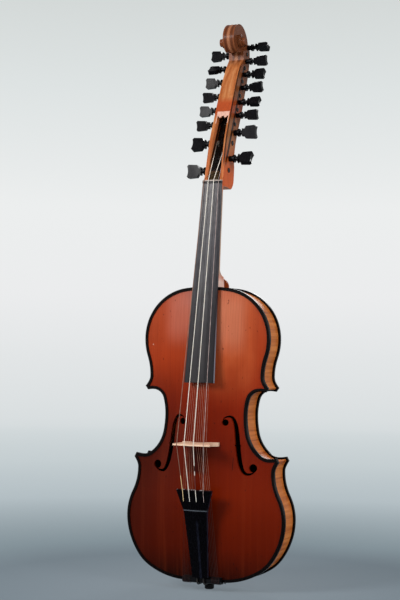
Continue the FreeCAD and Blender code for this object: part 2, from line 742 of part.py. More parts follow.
def scroll():
    """Volute of one and three quarter turns that steps outward towards its eyes."""
    pieces = []
    last = 630
    step = 45
    for start in range(0, last, 180):
        stop = min(start + 180, last)
        sections = [scroll_section(turn) for turn in range(start, stop + 1, step)]
        pieces.append(Part.makeLoft(sections, True, False))
    eyes = size("scroll_eyes")
    centre = Vector(-eyes / 2.0, SCROLL_BACK, SCROLL_LEVEL)
    core = Part.makeCylinder(size("eye_radius"), eyes, centre, Vector(1, 0, 0))
    hub_half = spiral_half_width(540)
    hub = Part.makeCylinder(spiral_radius(630) + 0.3, 2 * hub_half,
                            centre + Vector(eyes / 2.0 - hub_half, 0, 0), Vector(1, 0, 0))
    solid = core.fuse(hub)
    for piece in pieces[::-1]:
        solid = solid.fuse(piece)
    return solid


# Places of the pegs, from the nut to the scroll: side, number, y or slope of the string, height.
# The first four carry the playing strings. A small peg lies behind the line of its string.

LARGE_PEGS = [("left", 1, 16.0, 15.5), ("right", 1, 18.5, 31.5), ("left", 2, 29.0, 54.5),
              ("right", 2, 35.3, 69.5)]
SMALL_PEG_LINES = [("left", 3, 0.468, 82.0), ("right", 3, 0.464, 95.0), ("left", 4, 0.461, 103.5),
                   ("right", 4, 0.459, 114.5), ("left", 5, 0.457, 124.5), ("right", 5, 0.455, 136.5),
                   ("left", 6, 0.453, 146.0), ("right", 6, 0.451, 156.5), ("left", 7, 0.449, 166.5),
                   ("right", 7, 0.4465, 176.5), ("left", 8, 0.444, 187.5), ("right", 8, 0.4315, 197.0)]
LOW_NUT_Y = -size("low_nut_out")
SHAFT_OFFSET = size("small_peg_radius") + 0.4
PEGS = [(True, side, number, y * HEAD, NUT_TOP + height * HEAD) for side, number, y, height in LARGE_PEGS]
PEGS += [(False, side, number, LOW_NUT_Y + slope * height * HEAD + SHAFT_OFFSET, NUT_TOP + height * HEAD)
         for side, number, slope, height in SMALL_PEG_LINES]


def peg_radius(large):
    return size("large_peg_radius") if large else size("small_peg_radius")


def peg_holes(large, side, y, level):
    """Holes for one peg, wider in the cheek next to its head."""
    reach = 25.0
    wide = peg_radius(large) + size("peg_bore_clearance")
    centre = Vector(0, y, level)
    headward = Vector(-1 if side == "left" else 1, 0, 0)
    near = Part.makeCylinder(wide, reach, centre, headward)
    far = Part.makeCylinder(wide - size("peg_taper"), reach, centre, headward * -1.0)
    return near.fuse(far)


def groove():
    """Channel for the sympathetic strings under the fingerboard; it widens as they do."""
    low = BODY_TOP - 30.0
    high = NUT_TOP + 1.0
    depth = size("groove_depth")
    side = side_prism([(board_underside(low) - 1, low), (board_underside(high) - 1, high),
                       (board_underside(high) + depth, high), (board_underside(low) + depth, low)], -30, 30)
    fan = 5.5 * (size("bridge_lane") - size("nut_lane")) / (NUT_TOP - BRIDGE_LEVEL)
    high_half = size("groove_width") / 2.0
    low_half = high_half + fan * (high - low)
    plan = polygon_face([(-low_half, low), (low_half, low), (high_half, high), (-high_half, high)])
    return side.common(prism(plan, -60, 60))


def neck_and_head():
    rib_space = prism(inset(size("overhang")), -RIB_FACE, RIB_FACE)
    edge_space = prism(inset(0), -EDGE_FACE - 20, -RIB_FACE)
    back_space = prism(inset(0), RIB_FACE, EDGE_FACE + 20)
    solid = neck()
    solid = solid.cut(rib_space).cut(edge_space).cut(back_space)
    solid = solid.cut(Part.makeBox(60, 60, 60, Vector(-30, RIB_FACE, BODY_TOP - 30)))
    solid = solid.fuse(pegbox())
    solid = solid.cut(groove())
    solid = solid.cut(pegbox_hollow())
    solid = solid.fuse(panel_lip())
    solid = solid.fuse(scroll())
    for large, side, number, y, level in PEGS:
        solid = solid.cut(peg_holes(large, side, y, level))
    return solid


shape_part("neck_and_head", neck_and_head())


# Sketched bodies

def new_body(label):
    body = DOC.addObject("PartDesign::Body", label)
    return keep(body, label)


def plane_of(body, role):
    return [item for item in body.Origin.OriginFeatures if item.Role == role][0]


def sketch_outline(body, name, corners, role="XY_Plane", offset=None, arcs=None):
    """Closed outline with its corners tied to the sheet. Each corner is a pair of expressions;
    arcs gives, for a side's number, the radius and whether the side bulges to its left."""
    sketch = body.newObject("Sketcher::SketchObject", name)
    sketch.AttachmentSupport = [(plane_of(body, role), "")]
    sketch.MapMode = "FlatFace"
    if offset is not None:
        sketch.setExpression(".AttachmentOffset.Base.z", offset)
    arcs = arcs or {}
    spots = [Vector(sketch.evalExpression(x), sketch.evalExpression(y), 0) for x, y in corners]
    count = len(spots)
    ends = []
    for index in range(count):
        start = spots[index]
        end = spots[(index + 1) % count]
        if index in arcs:
            expression, left = arcs[index]
            radius = sketch.evalExpression(expression)
            chord = end - start
            across = Vector(-chord.y, chord.x, 0).normalize() * (-1 if left else 1)
            drop = math.sqrt(max(radius * radius - chord.Length ** 2 / 4.0, 0.0))
            centre = (start + end) * 0.5 + across * drop
            first = math.atan2(start.y - centre.y, start.x - centre.x)
            second = math.atan2(end.y - centre.y, end.x - centre.x)
            circle = Part.Circle(centre, Vector(0, 0, 1), radius)
            turned = left
            if turned:
                first, second = second, first
            sketch.addGeometry(Part.ArcOfCircle(circle, first, second))
            ends.append((2, 1) if turned else (1, 2))
            slot = sketch.addConstraint(Sketcher.Constraint("Radius", index, radius))
            sketch.setExpression("Constraints[%d]" % slot, expression)
        else:
            sketch.addGeometry(Part.LineSegment(start, end))
            ends.append((1, 2))
    for index in range(count):
        following = (index + 1) % count
        sketch.addConstraint(Sketcher.Constraint("Coincident", index, ends[index][1],
                                                 following, ends[following][0]))
    for index, (x, y) in enumerate(corners):
        for kind, expression, value in (("DistanceX", x, spots[index].x), ("DistanceY", y, spots[index].y)):
            slot = sketch.addConstraint(Sketcher.Constraint(kind, -1, 1, index, ends[index][0], value))
            sketch.setExpression("Constraints[%d]" % slot, expression)
    return sketch


def pad(body, name, sketch, length, symmetric=False, reverse=False):
    feature = body.newObject("PartDesign::Pad", name)
    feature.Profile = sketch
    feature.setExpression("Length", length)
    if symmetric:
        feature.SideType = "Symmetric"
    feature.Reversed = reverse
    return feature


def loft(body, name, sketches):
    feature = body.newObject("PartDesign::AdditiveLoft", name)
    feature.Profile = sketches[0]
    feature.Sections = sketches[1:]
    feature.Ruled = True
    return feature


def revolve(body, name, sketch, axis):
    feature = body.newObject("PartDesign::Revolution", name)
    feature.Profile = sketch
    feature.ReferenceAxis = (sketch, [axis])
    feature.Angle = 360.0
    return feature


# Fingerboard: a loft along its own axis, then leaned to the neck

def crown_radius(width, crown):
    return "(%s * %s / 4 + %s * %s) / (2 * %s)" % (width, width, crown, crown, crown)


def fingerboard():
    body = new_body("fingerboard")
    sections = []
    rise = "Sizes.board_rise"
    fall = "(Sizes.board_end_out - Sizes.board_top_out)"
    length = "sqrt(%s * %s + %s * %s) - 0.8" % (rise, rise, fall, fall)
    ends = (("low", "0", "Sizes.board_end_width", "Sizes.board_end_crown"),
            ("high", length, "Sizes.board_top_width", "Sizes.board_top_crown"))
    for name, level, width, crown in ends:
        corners = [("-%s / 2" % width, "0"), ("-%s / 2" % width, "-Sizes.board_side"),
                   ("%s / 2" % width, "-Sizes.board_side"), ("%s / 2" % width, "0")]
        sections.append(sketch_outline(body, "board_" + name, corners, offset=level,
                                       arcs={1: (crown_radius(width, crown), False)}))
    loft(body, "board_loft", sections)
    lean = math.degrees(math.atan(BOARD_FALL))
    body.Placement = Placement(Vector(0, -size("board_end_out"), BOARD_END),
                               Rotation(Vector(1, 0, 0), -lean))
    return body


fingerboard()


BOARD_TOP_EXPRESSION = "(Sizes.button_reach - Sizes.overhang + Sizes.body_length + Sizes.neck_length)"


def nut():
    body = new_body("nut")
    half = "Sizes.board_top_width / 2"
    foot = "-Sizes.board_top_out"
    side = foot + " - Sizes.nut_height + Sizes.nut_crown"
    corners = [("-" + half, foot), ("-" + half, side), (half, side), (half, foot)]
    outline = sketch_outline(body, "nut_outline", corners, offset=BOARD_TOP_EXPRESSION,
                             arcs={1: (crown_radius("Sizes.board_top_width", "Sizes.nut_crown"), False)})
    pad(body, "nut_block", outline, "Sizes.nut_depth")


nut()


def low_nut():
    """Nut for the sympathetic strings, at the upper end of the channel in the neck."""
    body = new_body("low_nut")
    top = "-Sizes.low_nut_out + Sizes.sympathetic_radius + Sizes.string_clearance"
    floor = "-Sizes.board_top_out + Sizes.groove_depth"
    fall = "(Sizes.board_end_out - Sizes.board_top_out) / Sizes.board_rise"
    low = BOARD_TOP_EXPRESSION
    high = BOARD_TOP_EXPRESSION + " + Sizes.nut_depth"
    corners = [(top, low), (top, high), (floor + " + Sizes.nut_depth * " + fall, high), (floor, low)]
    outline = sketch_outline(body, "low_nut_outline", corners, role="YZ_Plane")
    pad(body, "low_nut_block", outline, "Sizes.groove_width - 0.1", symmetric=True)


low_nut()


def tailpiece():
    body = new_body("tailpiece")
    fan = "Sizes.tail_length - Sizes.tail_fan_length"
    levels = (("low", "0", "Sizes.tail_low_width", "Sizes.tail_side", "Sizes.tail_crown"),
              ("fret", fan, "Sizes.tail_fret_width", "Sizes.tail_side", "Sizes.tail_crown"),
              ("fan", fan + " + 3", "Sizes.tail_fret_width + 2", "Sizes.tail_side", "0.6 * Sizes.tail_crown"),
              ("high", "Sizes.tail_length", "Sizes.tail_top_width", "Sizes.tail_side", "0.5 * Sizes.tail_crown"))
    sections = []
    for name, level, width, side, crown in levels:
        half = "(%s) / 2" % width
        top = "-%s - %s" % (side, crown)
        corners = [("-" + half, "0"), ("-" + half, "-" + side), ("0", top), (half, "-" + side), (half, "0")]
        sections.append(sketch_outline(body, "tail_" + name, corners, offset=level))
    loft(body, "tail_loft", sections)
    rest = [("-(Sizes.tail_top_width - 4) / 2", "-Sizes.tail_side + 1"),
            ("-(Sizes.tail_top_width - 4) / 2", "-Sizes.tail_side - 0.9"),
            ("0", "-Sizes.tail_side - 0.5 * Sizes.tail_crown - 1.1"),
            ("(Sizes.tail_top_width - 4) / 2", "-Sizes.tail_side - 0.9"),
            ("(Sizes.tail_top_width - 4) / 2", "-Sizes.tail_side + 1")]
    outline = sketch_outline(body, "tail_rest", rest, offset="Sizes.tail_length - 4")
    pad(body, "tail_rest_bar", outline, "2.4")
    body.Placement = Placement(Vector(0, -size("tail_under"), size("tail_low_level")),
                               Rotation(Vector(1, 0, 0), size("tail_lean")))


tailpiece()


def circle_sketch(body, name, spots, radius, role="XY_Plane"):
    """Circles with centres and radius tied to the sheet."""
    sketch = body.newObject("Sketcher::SketchObject", name)
    sketch.AttachmentSupport = [(plane_of(body, role), "")]
    sketch.MapMode = "FlatFace"
    for index, (x, y) in enumerate(spots):
        centre = Vector(sketch.evalExpression(x), sketch.evalExpression(y), 0)
        value = sketch.evalExpression(radius)
        sketch.addGeometry(Part.Circle(centre, Vector(0, 0, 1), value))
        for kind, expression, start in (("DistanceX", x, centre.x), ("DistanceY", y, centre.y)):
            slot = sketch.addConstraint(Sketcher.Constraint(kind, -1, 1, index, 3, start))
            sketch.setExpression("Constraints[%d]" % slot, expression)
        slot = sketch.addConstraint(Sketcher.Constraint("Radius", index, value))
        sketch.setExpression("Constraints[%d]" % slot, radius)
    return sketch


def pocket(body, name, sketch, reverse=False):
    feature = body.newObject("PartDesign::Pocket", name)
    feature.Profile = sketch
    feature.Type = "ThroughAll"
    feature.SideType = "Symmetric"
    feature.Reversed = reverse
    return feature


BRIDGE_FOOT = -PLATE_FACE - size("front_arch") * arch(size("bridge_feet") / 2.0 - 6.0, BRIDGE_LEVEL)
LANE_SLOPE = (EDGE_FACE + size("lane_clearance") - size("low_nut_out")) / (NUT_TOP - BODY_TOP)
LANE_AT_BRIDGE = LOW_NUT_Y - LANE_SLOPE * (NUT_TOP - BRIDGE_LEVEL)


def bridge():
    """Blank with feet and belly, holes for the lower strings, tapered, its feet cut to the plate."""
    body = DOC.addObject("PartDesign::Body", "bridge_blank")
    half = "Sizes.bridge_feet / 2"
    foot = "(Sizes.bridge_feet / 2 - Sizes.bridge_foot)"
    top = "Sizes.bridge_top_width / 2"
    rise = "Sizes.bridge_height"
    side = "(Sizes.bridge_height - Sizes.bridge_crown)"
    corners = [("-" + half, "-3"), ("-" + half, "2.6"), ("-" + half + " + 5", "8"),
               ("-" + top + " + 3", "0.6 * " + rise), ("-" + top, side), (top, side),
               (top + " - 3", "0.6 * " + rise), (half + " - 5", "8"), (half, "2.6"), (half, "-3"),
               (foot, "-3"), (foot, "3.4"), ("-" + foot, "3.4"), ("-" + foot, "-3")]
    crest = crown_radius("Sizes.bridge_top_width", "Sizes.bridge_crown")
    arcs = {2: ("12", False), 4: (crest, True), 6: ("12", False), 11: ("16", False)}
    outline = sketch_outline(body, "bridge_outline", corners, arcs=arcs)
    pad(body, "bridge_slab", outline, "Sizes.bridge_foot_thickness", symmetric=True)
    lane_height = "%.3f" % (BRIDGE_FOOT - LANE_AT_BRIDGE)
    lanes = [("%.1f * Sizes.bridge_lane" % (index - 5.5), lane_height) for index in range(12)]
    holes = circle_sketch(body, "bridge_holes", lanes, "Sizes.bridge_hole")
    pocket(body, "bridge_string_holes", holes)
    thick = "Sizes.bridge_foot_thickness / 2"
    thin = "Sizes.bridge_top_thickness / 2"
    for name, sign in (("front", ""), ("back", "-")):
        outside = sign + "(" + thick + " + 1)"
        taper = [("9", sign + thick), (rise + " + 1", sign + thin), (rise + " + 1", outside), ("9", outside)]
        wedge = sketch_outline(body, "bridge_taper_" + name, taper, role="YZ_Plane")
        pocket(body, "bridge_thin_" + name, wedge)
    return body


def saddle():
    body = new_body("saddle")
    low = "(Sizes.button_reach - Sizes.overhang - Sizes.saddle_drop)"
    high = "(Sizes.button_reach - Sizes.overhang + Sizes.saddle_height)"
    corners = [("-Sizes.rib_depth / 2", low), ("-Sizes.rib_depth / 2", high),
               ("-Sizes.rib_depth / 2 - Sizes.edging_thickness - 1", high),
               ("-Sizes.saddle_out", high + " - 2.4"), ("-Sizes.saddle_out", low + " + Sizes.saddle_round"),
               ("-Sizes.saddle_out + Sizes.saddle_round", low)]
    outline = sketch_outline(body, "saddle_outline", corners, role="YZ_Plane",
                             arcs={4: ("Sizes.saddle_round", False)})
    pad(body, "saddle_block", outline, "Sizes.saddle_width", symmetric=True)


saddle()


def end_button():
    body = new_body("end_button")
    radius = "Sizes.button_radius"
    head = "Sizes.button_head"
    neck = "Sizes.button_neck"
    reach = "Sizes.button_reach + Sizes.rib_wall + Sizes.lower_block_depth"
    corners = [("0", "0"), (radius + " - 1", "0"), (radius, "1.2"), (radius, head + " - 2"),
               (radius + " - 1.2", head), (neck, head), (neck, reach), ("0", reach)]
    outline = sketch_outline(body, "end_button_outline", corners, role="XZ_Plane")
    revolve(body, "end_button_turned", outline, "V_Axis")


end_button()

# Pegs: turned shaft, collar and waist, and a flat wing; the peg's axis is its own X axis

PEG_TURNS = {"left1": 4, "left2": 20, "left3": -6, "left4": 5, "left5": -8, "left6": 6, "left7": 52,
             "left8": 12, "right1": -34, "right2": 3, "right3": 10, "right4": -38, "right5": 22,
             "right6": -28, "right7": 16, "right8": 68}


def peg(large, side, number, y, level):
    label = "peg_%s_%d" % (side, number)
    body = new_body(label)
    kind = "large" if large else "small"
    taper = (level - NUT_TOP) / (TAPER_HEIGHT * HEAD)
    half = "(Sizes.head_bottom_width + (Sizes.head_top_width - Sizes.head_bottom_width) * %.4f) / 2" % taper
    radius = "Sizes.%s_peg_radius" % kind
    tip = "(%s - Sizes.peg_taper)" % radius
    collar = "(%s + 1.6)" % radius
    start = "(%s + Sizes.peg_shank)" % half
    waist = "(%s + Sizes.peg_collar)" % start
    wing = "(%s + Sizes.peg_neck)" % waist
    slim = "0.8 * " + radius
    step = "(%s - Sizes.cheek - 0.3)" % half
    corners = [("-%s - Sizes.peg_tip" % half, "0"), ("-%s - Sizes.peg_tip" % half, tip), (step, tip),
               (step, radius), (start, radius), (start, collar), (waist, collar), (waist, slim),
               (wing, slim), (wing, "0")]
    outline = sketch_outline(body, label + "_turning", corners)
    revolve(body, label + "_shaft", outline, "H_Axis")
    length = "Sizes.%s_wing_length" % kind
    width = "Sizes.%s_wing_width / 2" % kind
    half_wing = [(wing, collar), (wing + " + 2", collar), (wing + " + 2.6", slim),
                 (wing + " + 0.28 * " + length, width + " - 0.8"), (wing + " + 0.9 * " + length, width),
                 (wing + " + " + length, width + " - 2.2")]
    corners = [(x, "-(%s)" % y) for x, y in half_wing] + half_wing[::-1]
    end = "Sizes.%s_wing_width" % kind
    outline = sketch_outline(body, label + "_wing_outline", corners, role="XZ_Plane", arcs={5: (end, True)})
    pad(body, label + "_wing", outline, "Sizes.%s_wing_thickness" % kind, symmetric=True)
    turn = Rotation(Vector(1, 0, 0), PEG_TURNS[side + str(number)])
    if side == "left":
        turn = Rotation(Vector(0, 0, 1), 180).multiply(turn)
    body.Placement = Placement(Vector(0, y, level), turn)


for entry in PEGS:
    peg(*entry)


# Strings: straight runs, an arc over each edge, and turns round the peg

def rounded(points, radii):
    """Straight runs through points, with an arc of its radius at each inner point."""
    edges = []
    here = points[0]
    for corner, after, radius in zip(points[1:], points[2:], radii):
        into = (corner - here).normalize()
        out = (after - corner).normalize()
        half_turn = into.getAngle(out) / 2.0
        reach = radius * math.tan(half_turn)
        begin = corner - into * reach
        edges.append(Part.makeLine(here, begin))
        edges.append(arc_from(begin, into, corner + out * reach))
        here = corner + out * reach
    edges.append(Part.makeLine(here, points[-1]))
    return edges


def tube(edges, radius, sides):
    """Cord along a path, with flat sides."""
    path = Part.Wire(edges)
    start = edges[0].Vertexes[0].Point
    along = (edges[0].Vertexes[1].Point - start).normalize()
    side = along.cross(Vector(1, 0, 0)).normalize() * radius
    corners = [start + Rotation(along, 360.0 * turn / sides).multVec(side) for turn in range(sides)]
    rim = Part.makePolygon(corners + corners[:1])
    return path.makePipeShell([rim], True, False)


def touch_point(start, centre, radius):
    """Where a string from start meets the front of a circle round centre, in the plane of start."""
    gap = Vector(0, centre.y - start.y, centre.z - start.z)
    distance = gap.Length
    ahead = gap.normalize()
    aside = Vector(0, -ahead.z, ahead.y)
    share = radius / distance
    spot = aside * (radius * math.sqrt(1.0 - share * share)) - ahead * (radius * share)
    return Vector(start.x, centre.y + spot.y, centre.z + spot.z)


def winding(first, tangent, centre, pitch, turns):
    """Turns round an axis along X, each half turn two arcs."""
    radius = math.hypot(first.y - centre.y, first.z - centre.z)
    begin = math.atan2(first.z - centre.z, first.y - centre.y)
    edges = []
    here = first
    heading_here = tangent
    for step in range(1, int(turns * 2) + 1):
        angle = begin - step * math.pi
        spot = Vector(first.x + pitch * step / 2.0, centre.y + radius * math.cos(angle),
                      centre.z + radius * math.sin(angle))
        forward = Vector(pitch / (2.0 * math.pi), radius * math.sin(angle), -radius * math.cos(angle)).normalize()
        edges.extend(biarc(here, heading_here, spot, forward))
        here = spot
        heading_here = forward
    return edges


def self_gap(edges, radius, wind_radius):
    """Least distance between two places of a winding that are over half a turn apart."""
    points = []
    travelled = 0.0
    for edge in edges:
        count = 12
        for step in range(count):
            share = step / float(count)
            points.append((travelled + share * edge.Length,
                           edge.valueAt(edge.FirstParameter + share * (edge.LastParameter - edge.FirstParameter))))
        travelled += edge.Length
    least = 1e9
    for index, (place, point) in enumerate(points):
        for other_place, other in points[index + 1:]:
            if other_place - place > math.pi * wind_radius:
                least = min(least, point.distanceToPoint(other))
    return least - 2 * radius


def wind_string(points, radii, centre, shaft, radius, pitch, turns, sides):
    """A string along points, then round its peg; the last given point is at the nut."""
    wind_radius = shaft + size("winding_clearance") + radius
    touch = touch_point(points[-1], centre, wind_radius)
    touch.x = centre.x
    straight = rounded(points + [touch], radii)
    last = straight[-1]
    along = (touch - last.Vertexes[0].Point).normalize()
    turns_edges = winding(touch, along, centre, pitch, turns)
    print("gap between turns %.2f" % self_gap(turns_edges, radius, wind_radius))
    return tube(straight + turns_edges, radius, sides)


# Playing strings, from the left: x on the tailpiece, on the bridge, at the nut and on the peg, and
# which peg

PLAYING = [("string_1", -15.2, -19.4, -11.2, -3.9, 0), ("string_2", -6.1, -7.4, -4.3, -7.9, 2),
           ("string_3", 3.8, 6.2, 3.8, 7.8, 3), ("string_4", 14.6, 19.6, 10.5, 6.2, 1)]
BRIDGE_TOP = BRIDGE_FOOT - size("bridge_height")
TAIL_LEAN = math.radians(size("tail_lean"))


def tail_place(x, along, out):
    """A place on the tailpiece: x, distance from its lower end, distance from its underside."""
    y = -size("tail_under") - along * math.sin(TAIL_LEAN) - out * math.cos(TAIL_LEAN)
    z = size("tail_low_level") + along * math.cos(TAIL_LEAN) - out * math.sin(TAIL_LEAN)
    return Vector(x, y, z)


def drop_of_arc(x, width, crown):
    radius = (width * width / 4.0 + crown * crown) / (2.0 * crown)
    return radius - math.sqrt(radius * radius - x * x)


def playing_string(label, tail_x, bridge_x, nut_x, peg_x, peg_index):
    radius = size("treble_radius") if label == "string_4" else size("playing_radius")
    rest = radius + size("string_clearance")
    large, side, number, y, level = PEGS[peg_index]
    out = size("tail_side") + 0.5 * size("tail_crown") * (1 - abs(tail_x) / 26.0)
    start = tail_place(tail_x, size("tail_length") - 15.0, out + 0.9 + rest)
    ridge = tail_place(tail_x, size("tail_length") - 2.8, out + 1.4 + rest)
    bridge_drop = drop_of_arc(bridge_x, size("bridge_top_width"), size("bridge_crown"))
    crest = Vector(size("bridge_offset") + bridge_x, BRIDGE_TOP + bridge_drop - rest, BRIDGE_LEVEL)
    nut_y = -size("board_top_out") - size("nut_height")
    nut_y += drop_of_arc(nut_x, size("board_top_width"), size("nut_crown"))
    at_nut = Vector(nut_x, nut_y - rest - 0.1, NUT_TOP + 0.3)
    shaft = peg_radius(large) - size("peg_taper")
    turns = 2.5 if number == 1 else 2.0
    pitch = 1.35 if peg_x < 0 else -1.35
    centre = Vector(peg_x, y, level)
    solid = wind_string([start, ridge, crest, at_nut], [4.0, 2.2, 1.2], centre, shaft, radius, pitch,
                        turns, 6)
    shape_part(label, solid)


for entry in PLAYING:
    playing_string(*entry)


# Sympathetic strings: hitch pin, saddle, bridge hole, low nut, peg

LANES = 12
PIN_FIRST = 16.5
PIN_STEP = 2.0
PIN_ROWS = (-11.5, -7.5)
STRING_LOW = BODY_LOW - size("saddle_drop") - size("sympathetic_radius") - size("string_clearance")


def pin_place(lane):
    """x and y of the hitch pin of a lane, counted from the left."""
    from_middle = abs(lane - 5.5) - 0.5
    x = PIN_FIRST + PIN_STEP * from_middle
    return (-x if lane < 6 else x), PIN_ROWS[lane % 2]


def hitch_pins():
    pins = []
    stop = prism(inset(size("overhang")), -RIB_FACE, RIB_FACE)
    for lane in range(LANES):
        x, y = pin_place(lane)
        low = STRING_LOW - 1.2
        pin = Part.makeCylinder(size("pin_radius"), 12.0, Vector(x, y, low))
        pins.append(pin.cut(stop))
    shape_part("hitch_pins", Part.makeCompound(pins))


hitch_pins()


def lane_pegs():
    """Peg of each lane: the outer lanes go to the lowest pegs."""
    left = [entry for entry in PEGS[4:] if entry[1] == "left"]
    right = [entry for entry in PEGS[4:] if entry[1] == "right"]
    return left + right[::-1]


def sympathetic_strings():
    radius = size("sympathetic_radius")
    rest = radius + size("string_clearance")
    strings = []
    for lane, (large, side, number, y, level) in enumerate(lane_pegs()):
        pin_x, pin_y = pin_place(lane)
        start = Vector(pin_x, pin_y - size("pin_radius") - 0.1, STRING_LOW)
        corner = Vector(pin_x, -size("saddle_out") - rest, STRING_LOW)
        middle = lane - 5.5
        at_bridge = Vector(size("bridge_offset") + middle * size("bridge_lane"), LANE_AT_BRIDGE, BRIDGE_LEVEL)
        at_nut = Vector(middle * size("nut_lane"), LOW_NUT_Y - 0.1, NUT_TOP)
        shaft = peg_radius(large) - size("peg_taper")
        pitch = -0.84 if lane < 6 else 0.84
        centre = Vector(at_nut.x, y, level)
        strings.append(wind_string([start, corner, at_bridge, at_nut], [4.4, 20.0, 6.0], centre, shaft,
                                   radius, pitch, 1.0, 4))
    shape_part("sympathetic_strings", Part.makeCompound(strings))


sympathetic_strings()


def tail_gut():
    """One loop from the tailpiece over the saddle and round the neck of the end button."""
    radius = size("gut_radius")
    side = size("button_neck") + radius + 0.1
    level = BODY_LOW - size("saddle_drop") - radius - 0.15
    out = size("saddle_out") + radius + 0.15
    top = tail_place(side, -0.1, 0.5 * (size("tail_side") + size("tail_crown")))
    bend = size("saddle_round") + radius
    right = rounded([top, Vector(side, -out, level), Vector(side, 0, level)], [bend])
    left = rounded([Vector(-side, 0, level), Vector(-side, -out, level), Vector(-side, top.y, top.z)], [bend])
    round_button = Part.Arc(Vector(side, 0, level), Vector(0, side, level), Vector(-side, 0, level)).toShape()
    shape_part("tail_gut", tube(right + [round_button] + left, radius, 6))


tail_gut()

DOC.recompute()
blank = bridge()
DOC.recompute()
blank.Placement = Placement(Vector(size("bridge_offset"), BRIDGE_FOOT, BRIDGE_LEVEL),
                            Rotation(Vector(1, 0, 0), 180))
under_feet = DOC.addObject("Part::Feature", "under_bridge")
under_face = FRONT_INNER.copy()
under_face.translate(Vector(0, 10, 0))
under_feet.Shape = under_face.extrude(Vector(0, -10 - size("plate_thickness"), 0))
bridge_cut = DOC.addObject("Part::Cut", "bridge")
bridge_cut.Base = blank
bridge_cut.Tool = under_feet
keep(bridge_cut, "bridge")

DOC.recompute()
failed = [item.Label for item in DOC.Objects if "Invalid" in item.State or "Error" in item.State]
for item in PARTS:
    if item.Shape.isNull() or not item.Shape.isValid():
        failed.append(item.Label)
    print(item.Label, len(item.Shape.Solids), round(item.Shape.Volume, 1))
if failed:
    raise SystemExit("not sound: %s" % ", ".join(failed))

os.makedirs("parts", exist_ok=True)
for item in PARTS:
    item.Shape.exportStep("parts/%s.step" % item.Label)
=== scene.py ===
import json
import math

import bmesh
import bpy
from mathutils import Matrix, Vector


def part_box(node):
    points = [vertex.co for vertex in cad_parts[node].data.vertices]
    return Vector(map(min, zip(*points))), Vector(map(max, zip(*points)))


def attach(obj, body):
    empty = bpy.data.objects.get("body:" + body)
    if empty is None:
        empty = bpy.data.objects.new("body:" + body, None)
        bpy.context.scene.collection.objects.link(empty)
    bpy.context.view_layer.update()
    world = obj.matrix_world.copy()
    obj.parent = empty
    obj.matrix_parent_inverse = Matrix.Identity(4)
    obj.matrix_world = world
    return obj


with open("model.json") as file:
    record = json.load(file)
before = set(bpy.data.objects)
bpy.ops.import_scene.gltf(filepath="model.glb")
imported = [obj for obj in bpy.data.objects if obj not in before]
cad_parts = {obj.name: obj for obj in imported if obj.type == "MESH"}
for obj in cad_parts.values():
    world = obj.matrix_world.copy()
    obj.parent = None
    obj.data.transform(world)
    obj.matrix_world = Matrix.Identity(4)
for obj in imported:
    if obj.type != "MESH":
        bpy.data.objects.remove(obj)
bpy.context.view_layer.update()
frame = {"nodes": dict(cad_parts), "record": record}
NODES = frame["nodes"]
SCENE = bpy.context.scene
SCENE.view_settings.view_transform = "Standard"

# The camera of the photograph, fitted to the object: metres, degrees and the picture's own pixels

PICTURE = (400, 600)
CAMERA_TURN = math.radians(24.0)
CAMERA_HEIGHT = 0.330
CAMERA_REACH = 1.95
CAMERA_ROLL = math.radians(0.75)
FOCAL_PIXELS = 1441.0
AXIS_PIXEL = (206.1, 347.0)
FRONT_FACE = -0.0215
SENSOR = 36.0


def photo_camera():
    data = bpy.data.cameras.new("photo_camera")
    camera = bpy.data.objects.new("photo_camera", data)
    SCENE.collection.objects.link(camera)
    right = Vector((math.cos(CAMERA_TURN), math.sin(CAMERA_TURN), 0.0))
    up = Vector((0.0, 0.0, 1.0))
    rolled_right = right * math.cos(CAMERA_ROLL) + up * math.sin(CAMERA_ROLL)
    rolled_up = up * math.cos(CAMERA_ROLL) - right * math.sin(CAMERA_ROLL)
    back = rolled_right.cross(rolled_up)
    place = Vector((CAMERA_REACH * math.sin(CAMERA_TURN),
                    FRONT_FACE - CAMERA_REACH * math.cos(CAMERA_TURN), CAMERA_HEIGHT))
    camera.matrix_world = Matrix((
        (rolled_right.x, rolled_up.x, back.x, place.x),
        (rolled_right.y, rolled_up.y, back.y, place.y),
        (rolled_right.z, rolled_up.z, back.z, place.z),
        (0.0, 0.0, 0.0, 1.0)))
    data.sensor_width = SENSOR
    data.lens = FOCAL_PIXELS / PICTURE[1] * SENSOR
    data.shift_x = (PICTURE[0] / 2.0 - AXIS_PIXEL[0]) / PICTURE[1]
    data.shift_y = (AXIS_PIXEL[1] - PICTURE[1] / 2.0) / PICTURE[1]
    data.clip_start = 0.05
    data.clip_end = 60.0
    SCENE.camera = camera


# Places on the object that the materials use: metres, or metres per metre of height

PLATE_LOW = 0.01
PLATE_HIGH = 0.41
NUT_LEVEL = 0.5575
HEAD_FRONT_OUT = 0.0036
HEAD_LEAN = 0.46
HEAD_TAPER = 0.01572
PEGBOX_OPEN = (0.5583, 0.652)
PEGBOX_HALF = 0.0108
BAND = (0.6395, 0.6560)
INSIDE_TOP = (0.408, 0.410)


# Node trees in a few words

NOISE_ROUGHNESS = 0.55


